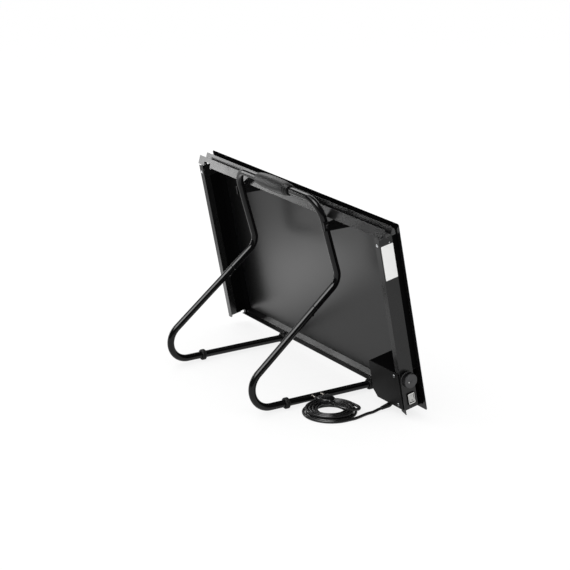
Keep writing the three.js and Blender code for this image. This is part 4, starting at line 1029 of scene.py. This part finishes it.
def cord_line(sizes):
    """The whole cord: from the strain relief along the floor, through the coil and up into the plug."""
    _, corner, end = gland_line()
    way = (end - corner).normalized()
    coil = coil_line(sizes)
    floor_z, top_z = layer_heights(sizes)
    start = end + way * GAP
    run = [start, start + way * 2 * sizes.radius]
    run += [over_floor(GLAND_X + shift, y, floor_z) for shift, y in RUN_BENDS]
    run += [coil[0] - TO_REAR * RUN_LEAD * MM, coil[0] - TO_REAR * GAP]
    last_way = (coil[-1] - coil[-2]).normalized()
    tail = [coil[-1] + last_way * GAP, coil[-1] + last_way * (GAP + 2 * sizes.radius)]
    for x, y, rise in TAIL_BENDS:
        tail.append(over_floor(COIL_CENTRE[0] + x, COIL_CENTRE[1] + y, top_z + rise * MM))
    plug = plug_start(sizes)
    tail += [plug - TO_LEFT * PLUG_LEAD * MM, plug - TO_LEFT * GAP]
    rising = relaxed(smooth_line(tail, POINT_SPACING), TAIL_PASSES)
    return smooth_line(run, POINT_SPACING) + coil[1:-1] + rising


def cord_curve(name, line, radius):
    data = bpy.data.curves.new(name, "CURVE")
    data.dimensions = "3D"
    data.bevel_depth = radius
    data.bevel_resolution = 6
    data.use_fill_caps = True
    spline = data.splines.new("POLY")
    spline.points.add(len(line) - 1)
    for point, place in zip(spline.points, line):
        point.co = (*place, 1)
    spline.use_smooth = True
    return add_object(name, data)


def line_length(line):
    return sum((b - a).length for a, b in zip(line, line[1:]))


def make_gland():
    """Boot with rings that taper to the cord, under a round flange in the box's underside."""
    start, corner, end = gland_line()
    line = bent_line([start, corner, end], [BOOT_BEND * MM], math.radians(6))
    fine = []
    for a, b in zip(line, line[1:]):
        count = max(1, round((b - a).length / (BOOT_STEP * MM)))
        fine += [a.lerp(b, k / count) for k in range(count)]
    fine.append(line[-1])
    frames = carried_frames(fine)
    total = line_length(fine)
    rings, gone = [], 0
    for i, point in enumerate(fine):
        if i:
            gone += (point - fine[i - 1]).length
        share = gone / total
        radius = (BOOT_ROOT + (BOOT_TIP - BOOT_ROOT) * share) * MM
        from_end = total - gone
        in_groove = (gone % (BOOT_PITCH * MM)) / (BOOT_PITCH * MM) > BOOT_RIB
        if in_groove and BOOT_PLAIN[0] * MM < gone and from_end > BOOT_PLAIN[1] * MM:
            radius -= (BOOT_GROOVE[0] - BOOT_GROOVE[1] * share) * MM
        radius -= max(0, BOOT_MOUTH * MM - from_end) * BOOT_MOUTH_SLOPE
        rings.append(ring_at(point, frames[i], radius, 32))
    settle(lofted("strain_relief", rings), "black_plastic", nodes=["cable_gland"])
    profile = in_metres(filleted(FLANGE, 0.5))
    flange = turned("strain_relief_flange", profile, 40, start, along_panel(0, 0, 1), closed=True)
    settle(flange, "black_plastic")


def plug_section(x, half_y, half_z, power):
    points = []
    for c, s in circle(1, PLUG_SIDES):
        y = math.copysign(abs(c) ** (2 / power), c) * half_y
        z = math.copysign(abs(s) ** (2 / power), s) * half_z
        points.append(Vector((x, y, z)) * MM)
    return points


def make_plug(sizes):
    start = plug_start(sizes)
    rings = [[start + p for p in plug_section(*section)] for section in PLUG_SECTIONS]
    body = lofted("plug_moulding", rings, 50)
    settle(body, "black_plastic", nodes=["plug_body"])
    made = [body]
    for word, side in (("first", 1), ("second", -1)):
        place = start + Vector((PIN_START + SEAT_GAP, side * PIN_SPACING / 2, 0)) * MM
        profile = in_metres(filleted(PIN, 0, closed=False, steps=6))
        pin = turned(f"{word}_pin", profile, 24, place, TO_LEFT)
        settle(pin, "pin_brass", nodes=[f"{word}_plug_pin"])
        profile = in_metres(filleted(PIN_SLEEVE, 0.15))
        sleeve = turned(f"{word}_pin_sleeve", profile, 24, place, TO_LEFT, closed=True)
        settle(sleeve, "black_plastic")
        made += [pin, sleeve]
    return made


class HEATER_OT_cord(bpy.types.Operator):
    """Mains cord on one smooth line, with its strain relief and plug"""

    bl_idname = "heater.cord"
    bl_label = "Cord"

    def execute(self, context):
        sizes = context.scene.heater_cord
        line = cord_line(sizes)
        cord = cord_curve("mains_cord", line, sizes.radius)
        settle(cord, "cord_rubber", nodes=["cord_run", "cord_coil", "cord_tail"])
        make_gland()
        pieces = make_plug(sizes)
        length = line_length(line)
        tuple(line[0])
        return {"FINISHED"}


# Stand.


def stand_corners(side):
    knee = in_stand(side * HOOP_HALF, *KNEE)
    heel = in_stand(side * RAIL_HALF, KNEE[0] + (KNEE[1] - RAIL_Z) / LEG_SLOPE, RAIL_Z)
    toe = in_stand(side * RAIL_HALF, FOOT_FRONT + FOOT_WALL + SEAT_GAP, RAIL_Z)
    top = in_stand(side * HOOP_HALF, HOOP_TOP_Y, HOOP_TOP_Z)
    way = (heel - knee).normalized()
    splice = knee + way * SPLICE_DROP * MM
    return {"knee": knee, "heel": heel, "toe": toe, "top": top, "way": way, "splice": splice}


def flattened(mesh, matrix, ceiling=None):
    """Presses a turned rubber flat on the floor, and under a plane across the panel if one is given."""
    mesh.transform(matrix)
    for corner in mesh.vertices:
        corner.co.z = max(corner.co.z, 0)
        if ceiling is not None:
            over = panel_height(corner.co) - ceiling
            if over > 0:
                corner.co -= along_panel(0, 0, 1) * over * MM
    return mesh


def tube_piece(name, corners, bends, sizes, nodes):
    mesh = tube_mesh(name, bent_line(corners, bends), sizes.tube_radius, sizes.tube_wall, sizes.sides)
    settle(make_object(name, mesh), "tube_paint", nodes=nodes)


class HEATER_OT_stand(bpy.types.Operator):
    """Bent tubes of the stand: the upper hoop and two legs"""

    bl_idname = "heater.stand"
    bl_label = "Stand"

    def execute(self, context):
        sizes = context.scene.heater_stand
        left, right = (stand_corners(side) for _, side in SIDES)
        ends = [places["splice"] - places["way"] * GAP for places in (left, right)]
        corners = [ends[0], left["knee"], left["top"], right["top"], right["knee"], ends[1]]
        bends = [sizes.knee_bend, sizes.hoop_bend, sizes.hoop_bend, sizes.knee_bend]
        tube_piece("upper_hoop", corners, bends, sizes, ["stand_hoop"])
        for word, side in SIDES:
            places = stand_corners(side)
            corners = [places["splice"], places["heel"], places["toe"]]
            tube_piece(f"{word}_lower_leg", corners, [sizes.heel_bend], sizes, [f"{word}_leg"])
        return {"FINISHED"}


class HEATER_OT_rubbers(bpy.types.Operator):
    """Rubber rings and end caps that the floor rails stand on"""

    bl_idname = "heater.rubbers"
    bl_label = "Rubbers"

    def execute(self, context):
        sizes = context.scene.heater_stand
        outer, bore = sizes.rubber_radius / MM, sizes.tube_radius / MM + SEAT_GAP
        ring_lip, cap_lip = 1.6, 1.4
        ring = [
            (bore, 0),
            (outer - ring_lip, 0),
            (outer, ring_lip),
            (outer, RING_WIDTH - ring_lip),
            (outer - ring_lip, RING_WIDTH),
            (bore, RING_WIDTH),
        ]
        cap = [
            (0, 0),
            (outer - cap_lip, 0, 0.8),
            (outer, cap_lip, 1.2),
            (outer, FOOT_LENGTH - cap_lip, 1.2),
            (outer - cap_lip, FOOT_LENGTH, 0.8),
            (bore, FOOT_LENGTH, 0.3),
            (bore, FOOT_WALL),
            (0, FOOT_WALL),
        ]
        for word, side in SIDES:
            name = f"{word}_ring"
            mesh = lathe(name, in_metres(filleted(ring, 1.1)), 64, closed=True)
            mesh = flattened(mesh, aimed(in_stand(side * RAIL_HALF, RING_Y, RAIL_Z), TO_REAR))
            settle(make_object(name, mesh, 60), "rubber", nodes=[f"{word}_rear_ring"])
            name = f"{word}_cap"
            mesh = lathe(name, in_metres(filleted(cap, 0, closed=False)), 64)
            matrix = aimed(in_stand(side * RAIL_HALF, FOOT_FRONT, RAIL_Z), TO_REAR)
            mesh = flattened(mesh, matrix, TRAY_FLANGE - SEAT_GAP)
            settle(make_object(name, mesh, 60), "rubber", nodes=[f"{word}_foot_cap"])
        return {"FINISHED"}


class HEATER_OT_grip(bpy.types.Operator):
    """Swollen hand grip on the top bar, with two grooves near its right-hand end"""

    bl_idname = "heater.grip"
    bl_label = "Hand grip"

    def execute(self, context):
        grip = context.scene.heater_grip
        bore = context.scene.heater_stand.tube_radius + GAP
        half = grip.length / 2
        grooves = [grip.length - 5 * MM, grip.length - 10 * MM]
        groove_half, groove_depth = 1.1 * MM, MM
        ease = 1.3 * MM
        seam_height, seam_half_angle = 0.14 * MM, 0.06

        def swell(h):
            share = min(abs(h / half - 1), 1)
            radius = grip.end_radius + (grip.radius - grip.end_radius) * math.sqrt(1 - share**2)
            for middle in grooves:
                off = abs(h - middle) / groove_half
                if off < 1:
                    radius -= groove_depth * (1 - off**4)
            end = min(h, grip.length - h)
            if end < ease:
                radius -= ease - math.sqrt(ease**2 - (ease - end) ** 2)
            return radius

        def seam(r, h, angle):
            off = abs(math.sin(angle)) / seam_half_angle
            return seam_height * max(0, 1 - off) if r > bore * 1.05 else 0

        stations = sorted({half - half * math.cos(math.pi * i / 150) for i in range(151)})
        profile = [(bore, 0)] + [(swell(h), h) for h in stations] + [(bore, grip.length)]
        start = in_stand(grip.middle / MM + half / MM, HOOP_TOP_Y, HOOP_TOP_Z)
        piece = turned("grip_sleeve", profile, 120, start, -TO_LEFT, 50, closed=True, bump=seam)
        settle(piece, "grip_plastic", nodes=["hand_grip"])
        return {"FINISHED"}


# Controls.


# The knob's ribs run from their foot to just under the top, on the outer part of the skirt.
KNOB_STEP = 1.2
RIB_REACH, RIB_FOOT, RIB_TOP = 2.2, 2.2, 0.8
DISH_DEPTH = 0.45
DOT_N, DOT_V = 4.6, -0.8
DOT_RADIUS, DOT_HALF = 0.9, 0.3


class HEATER_OT_knob(bpy.types.Operator):
    """Ribbed thermostat knob with a dished face and a dot to read it by"""

    bl_idname = "heater.knob"
    bl_label = "Knob"

    def execute(self, context):
        sizes = context.scene.heater_controls
        radius, height = sizes.knob_radius / MM, sizes.knob_height / MM
        outline = [
            (0, 9.1),
            (3.3, 9.1),
            (3.3, 2.4),
            (8.4, 2.4, 0.5),
            (8.4, 0, 0.3),
            (radius, 0, 0.4),
            (radius, 1.6, 0.3),
            (radius - 0.7, 2.0, 0.3),
            (radius - 1.0, height - 1.4, 0.6),
            (radius - 2.4, height, 0.9),
            (radius - 4.2, height - 0.35, 0.6),
            (3.0, height - 0.55, 0.5),
            (2.2, height - 1.5, 0.5),
            (0, height - 1.7),
        ]
        profile = in_metres(filleted(outline, 0, closed=False))
        dense = [profile[0]]
        for (r0, h0), (r1, h1) in zip(profile, profile[1:]):
            count = max(1, round(math.hypot(r1 - r0, h1 - h0) / (KNOB_STEP * MM)))
            dense += [(r0 + (r1 - r0) * k / count, h0 + (h1 - h0) * k / count) for k in range(1, count + 1)]

        def ribs(r, h, angle):
            flank = r > (radius - RIB_REACH) * MM and RIB_FOOT * MM < h < (height - RIB_TOP) * MM
            wave = 0.5 - 0.5 * math.cos(sizes.knob_ribs * angle)
            return -sizes.rib_depth * wave if flank else 0

        place = on_panel(-KNOB_FOOT, KNOB_N, KNOB_V)
        cap = turned("knob_cap", dense, sizes.knob_ribs * 6, place, -TO_LEFT, 40, bump=ribs)
        settle(cap, "grey_plastic", "knob", ["thermostat_knob"])
        dull_faces(cap, "matt_plastic", lambda face: face.normal.z < 0.5)
        knob_face = KNOB_FOOT + height - DISH_DEPTH

        def on_face(a, b, depth):
            return on_panel(-knob_face - depth, KNOB_N + a, KNOB_V + b)

        dot = [(DOT_N + a, DOT_V + b) for a, b in circle(DOT_RADIUS, 24)]
        settle(slab("knob_pointer", dot, -DOT_HALF, DOT_HALF, on_face), "mark_white", "knob")
        return {"FINISHED"}


# The bezel and the frame in it, each by half width, half height and depth behind the bezel's face.
BEZEL = [
    (7.5, 10.5, 1.8),
    (7.5, 10.5, 0.7),
    (7.3, 10.3, 0.2),
    (7.0, 10.0, 0),
    (6.5, 9.7, 0),
    (6.35, 9.55, 0.2),
    (6.35, 9.55, 1.8),
]
INNER_FRAME = [
    (6.3, 9.5, 1.8),
    (6.3, 9.5, -0.1),
    (6.1, 9.3, -0.3),
    (5.6, 8.2, -0.3),
    (5.35, 7.95, 0.1),
    (5.2, 7.8, 0.8),
    (5.2, 7.8, 1.8),
]

# The rocker: half its height and width, and how far its dished face stands out at the ends and the middle.
KEY_HALF = 6.4
KEY_HALF_WIDTH = 4.7
KEY_END, KEY_VALLEY = 5.4, 4.4
MARK_ROOT, MARK_TOP = -0.1, 0.06


def surround(name, sections, finish):
    def on_wall(a, b, depth):
        return on_panel(-BEZEL_FACE + depth, SWITCH_N + a, SWITCH_V + b)

    rings = []
    for half_a, half_b, depth in sections:
        corner = 1.3 if half_a > 6 else 0.6
        shape = rounded_rectangle(-half_a, -half_b, half_a, half_b, corner)
        rings.append([on_wall(a, b, depth) for a, b in shape])
    settle(lofted(name, rings, 30, closed=True), finish)


def on_rocker(x, n, v):
    local = Matrix.Rotation(ROCKER_TILT, 4, "Y") @ Vector((x, n, v))
    return on_panel(ROCKER_PIVOT_X + local.x, SWITCH_N + local.y, SWITCH_V + local.z)


def key_face(v):
    """How far the rocker's dished face stands out from its pivot at a height."""
    return KEY_VALLEY + (KEY_END - KEY_VALLEY) * (min(abs(v), KEY_HALF) / KEY_HALF) ** 1.7


def on_key(shift):
    def place(a, b, depth):
        return on_rocker(-key_face(b + shift) - depth, a, b + shift)

    return place


class HEATER_OT_switch(bpy.types.Operator):
    """Rocker switch: bezel with an eased edge, and a dished rocker with its on and off marks"""

    bl_idname = "heater.switch"
    bl_label = "Switch"

    def execute(self, context):
        surround("switch_bezel", BEZEL, "matt_plastic")
        surround("switch_frame", INNER_FRAME, "frame_plastic")

        section = [(-key_face(v), v) for v in [KEY_HALF * k / 8 for k in range(-8, 9)]]
        section += [(2.6, 3.2), (2.6, -3.2)]
        rings = [[on_rocker(x, n, v) for x, v in section] for n in (-KEY_HALF_WIDTH, KEY_HALF_WIDTH)]
        rocker = lofted("rocker_key", rings, 30)
        ease_edges(rocker, 0.35 * MM, 3, 50)
        settle(rocker, "pale_plastic", "rocker", ["switch_rocker"])

        bar = rounded_rectangle(-0.3, -1.3, 0.3, 1.3, 0.2)
        settle(slab("mark_on", bar, MARK_ROOT, MARK_TOP, on_key(MARK_V)), "mark_dark", "rocker")
        place = on_key(-MARK_V)
        rings = []
        for radius, depth in ((1.35, MARK_ROOT), (1.35, MARK_TOP), (0.85, MARK_TOP), (0.85, MARK_ROOT)):
            rings.append([place(a, b, depth) for a, b in circle(radius, 32)])
        settle(lofted("mark_off", rings, closed=True), "mark_dark", "rocker")
        return {"FINISHED"}


# Fasteners.

# Each by its head's radius and height and its shank's radius and length.
SCREW = (3.1, 1.9, 1.5, 7)
BOLT = (4.2, 2.4, 2, 10)
RIVET = (2.8, 1.1, 1.5, 3.4)


def pan_head(name, radius, height, shank, length):
    """Domed screw head with a cross recess, turned on a fine grid, and its shank."""
    sides, rings = 64, 14
    slot_half, slot_reach, slot_depth = radius * 0.15, radius * 0.62, height * 0.62

    def domed(x, y):
        z = height * math.sqrt(max(0, 1 - (math.hypot(x, y) / radius) ** 2.6))
        near, far = sorted((abs(x), abs(y)))
        return (x, y, z - slot_depth if near < slot_half and far < slot_reach else z)

    corners = [domed(0, 0)]
    for i in range(1, rings + 1):
        corners += [domed(x, y) for x, y in circle(radius * i / rings, sides)]
    for r, h in ((shank, 0), (shank, -length)):
        corners += [(x, y, h) for x, y in circle(r, sides)]
    faces = [(0, 1 + j, 1 + (j + 1) % sides) for j in range(sides)]
    for i in range(rings + 1):
        a, b = 1 + i * sides, 1 + (i + 1) * sides
        for j in range(sides):
            k = (j + 1) % sides
            faces.append((a + j, b + j, b + k, a + k))
    faces.append(tuple(len(corners) - sides + j for j in range(sides)))
    return mesh_from(name, [tuple(c * MM for c in corner) for corner in corners], faces)


def rivet_head(name, radius, height, shank, length):
    """Domed blind rivet with the dimple that its mandrel leaves."""
    outline = [
        (0, -length),
        (shank, -length),
        (shank, 0),
        (radius, 0),
        (radius, height * 0.25, 0.2),
        (radius * 0.7, height * 0.85, 0.5),
        (radius * 0.36, height, 0.2),
        (radius * 0.3, height * 0.55, 0.15),
        (0, height * 0.5),
    ]
    return lathe(name, in_metres(filleted(outline, 0, closed=False)), 32)


def hex_head(name, radius, height, shank, length):
    """Hexagon head on a washer face, with its shank."""
    flat = radius * math.cos(math.pi / 6) * 0.98 * MM

    def hexagon(r, h, angle):
        if h < height * 0.3 * MM or r < radius * 0.7 * MM:
            return 0
        across = (angle + math.pi / 6) % (math.pi / 3) - math.pi / 6
        return min(flat / math.cos(across), r) - r

    outline = [
        (0, -length),
        (shank, -length),
        (shank, 0),
        (radius, 0),
        (radius, height * 0.22),
        (radius * 0.97, height * 0.31),
        (radius * 0.98, height * 0.82),
        (radius * 0.82, height),
        (0, height),
    ]
    return lathe(name, in_metres(outline), 48, bump=hexagon)


def gusset_bolt_place(side, corners):
    top_v, knee_v = panel_height(corners["top"]), panel_height(corners["knee"])
    share = (top_v - GUSSET_DROP - GUSSET_BOLT_DROP - knee_v) / (top_v - knee_v)
    place = corners["knee"].lerp(corners["top"], share)
    place.x = SHIFT.x + side * (HOOP_HALF + TUBE_RADIUS + GUSSET_SHEET + 2 * SEAT_GAP) * MM
    return place


class HEATER_OT_fasteners(bpy.types.Operator):
    """Screws, rivets and bolts with their drives and dimples"""

    bl_idname = "heater.fasteners"
    bl_label = "Fasteners"

    def execute(self, context):
        rearward, up = along_panel(0, 1, 0), along_panel(0, 0, 1)
        rows = []
        for word, v in COVER_SCREWS_V:
            place = on_panel(COVER_SCREW_U, COVER_REAR + SEAT_GAP, v)
            rows.append((f"{word}_cover_screw", pan_head, SCREW, place, rearward, "zinc"))
        for word, side in SIDES:
            outward = TO_LEFT * side
            place = on_panel(side * (RAIL_OUTER - RAIL_LIP / 2), RAIL_REAR + SEAT_GAP, RIVET_V)
            rows.append((f"{word}_lip_rivet", rivet_head, RIVET, place, rearward, "bright_rivet"))
            place = on_panel(side * (CHEEK_INNER - SEAT_GAP), CHEEK_RIVET_N, RIVET_V)
            rows.append((f"{word}_cheek_rivet", rivet_head, RIVET, place, -outward, "bright_rivet"))
            corners = stand_corners(side)
            across = -TO_LEFT.cross(corners["way"]).normalized()
            place = corners["splice"] + corners["way"] * INSERT_LENGTH / 4 * MM
            place += across * (TUBE_RADIUS + SEAT_GAP) * MM
            rows.append((f"{word}_splice_screw", pan_head, SCREW, place, across, "black_paint"))
            place = gusset_bolt_place(side, corners)
            rows.append((f"{word}_gusset_bolt", hex_head, BOLT, place, outward, "black_paint"))
            place = on_panel(side * RAIL_HALF, FOOT_BOLT_N, TRAY_FLANGE + SHEET + SEAT_GAP)
            rows.append((f"{word}_foot_bolt", hex_head, BOLT, place, up, "black_paint"))
        for node, shape, sizes, place, way, finish in rows:
            name = f"{node}_head"
            piece = make_object(name, shape(name, *sizes), 40)
            piece.matrix_world = aimed(place, way)
            settle(piece, finish, nodes=[node])
        return {"FINISHED"}


# Sheet metal and what lies inside.


class HEATER_OT_plate(bpy.types.Operator):
    """Bare white plate on the right-hand wall"""

    bl_idname = "heater.plate"
    bl_label = "Plate"

    def execute(self, context):
        def on_wall(a, b, depth):
            return on_panel(-RAIL_OUTER - depth, a, b)

        outline = rounded_rectangle(PLATE_N[0], PLATE_V[0], PLATE_N[1], PLATE_V[1], PLATE_CORNER)
        settle(slab("wall_plate", outline, PLATE_FOOT, PLATE_FACE, on_wall), "plate_white")
        return {"FINISHED"}


class HEATER_OT_sheet(bpy.types.Operator):
    """Paint and eased edges for the folded sheet of the panel, rails, louvres and box"""

    bl_idname = "heater.sheet"
    bl_label = "Sheet metal"

    def execute(self, context):
        painted = ["left_side_rail", "right_side_rail", "middle_louvre", "rear_louvre"]
        painted += ["left_louvre_bracket", "right_louvre_bracket", "left_gusset", "right_gusset"]
        dress_nodes("panel_paint", "front_panel", "back_tray")
        dress_nodes("black_paint", *painted)
        dress_nodes("box_paint", "box_shell", "box_cover")
        for name in ["front_panel", "back_tray", "box_shell", *painted]:
            ease_node(name)

        # Painted shade: the slanting sides of the back plate, the top of the box and the upper rim of the
        # pan take a matt copy of the sheet paint with no gloss. The foot of the back plate is duller than
        # its middle.
        up = along_panel(0, 0, 1)
        tray, box, pan = (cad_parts[name] for name in ("back_tray", "box_shell", "front_panel"))
        dull_faces(tray, "fold_paint", lambda face: abs(face.normal.x) > 0.15)
        dull_faces(tray, "foot_paint", lambda face: abs(face.normal.x) < 0.15 < abs(face.normal.dot(up)))
        dull_faces(box, "fold_paint", lambda face: face.normal.dot(up) > 0.5)

        def on_upper_rim(face):
            rear_side = face.normal.y > 0.9 and panel_height(face.center) > UPPER_RIM_V
            return rear_side or face.normal.dot(up) > 0.9

        dull_faces(pan, "fold_paint", on_upper_rim)
        return {"FINISHED"}


class HEATER_OT_inside(bpy.types.Operator):
    """Finishes for what lies inside the panel, the box and the tubes"""

    bl_idname = "heater.inside"
    bl_label = "Inside"

    def execute(self, context):
        dress_nodes("element_foil", "heating_element")
        dress_nodes("mineral_board", "insulation_board")
        dress_nodes("zinc", "thermostat_nut", "thermostat_spindle")
        dress_nodes("zinc", "left_splice_insert", "right_splice_insert")
        dress_nodes("pale_plastic", "terminal_block")
        dress_nodes("black_plastic", "switch_housing", "thermostat_body", "thermal_cutout")
        dress_nodes("live_sleeve", "live_wire", "supply_wire")
        dress_nodes("neutral_sleeve", "neutral_wire")
        for name in ("terminal_block", "thermostat_body", "thermostat_nut"):
            ease_node(name)
        return {"FINISHED"}


class HEATER_PT_parts(bpy.types.Panel):
    """The heater's pieces"""

    bl_label = "Heater"
    bl_idname = "HEATER_PT_parts"
    bl_space_type = "VIEW_3D"
    bl_region_type = "UI"
    bl_category = "Heater"

    def draw(self, context):
        for operator in OPERATORS:
            self.layout.operator(operator.bl_idname)
        for label, _ in SETTINGS:
            group = getattr(context.scene, label)
            column = self.layout.column(align=True)
            for name in group.bl_rna.properties.keys():
                if name not in ("rna_type", "name"):
                    column.prop(group, name)


OPERATORS = [
    HEATER_OT_stage,
    HEATER_OT_cord,
    HEATER_OT_stand,
    HEATER_OT_rubbers,
    HEATER_OT_grip,
    HEATER_OT_knob,
    HEATER_OT_switch,
    HEATER_OT_fasteners,
    HEATER_OT_plate,
    HEATER_OT_sheet,
    HEATER_OT_inside,
]
SETTINGS = [
    ("heater_stand", StandSizes),
    ("heater_grip", GripSizes),
    ("heater_controls", ControlSizes),
    ("heater_cord", CordSizes),
    ("heater_colours", Colours),
    ("heater_stage", StageSizes),
]


def register():
    for label, group in SETTINGS:
        bpy.utils.register_class(group)
        setattr(bpy.types.Scene, label, PointerProperty(type=group))
    for operator in OPERATORS:
        bpy.utils.register_class(operator)
    bpy.utils.register_class(HEATER_PT_parts)


def unregister():
    bpy.utils.unregister_class(HEATER_PT_parts)
    for operator in reversed(OPERATORS):
        bpy.utils.unregister_class(operator)
    for label, group in reversed(SETTINGS):
        delattr(bpy.types.Scene, label)
        bpy.utils.unregister_class(group)


def main():
    register()
    for operator in OPERATORS:
        family, name = operator.bl_idname.split(".")
        getattr(getattr(bpy.ops, family), name)()


if __name__ == "__main__":
    main()
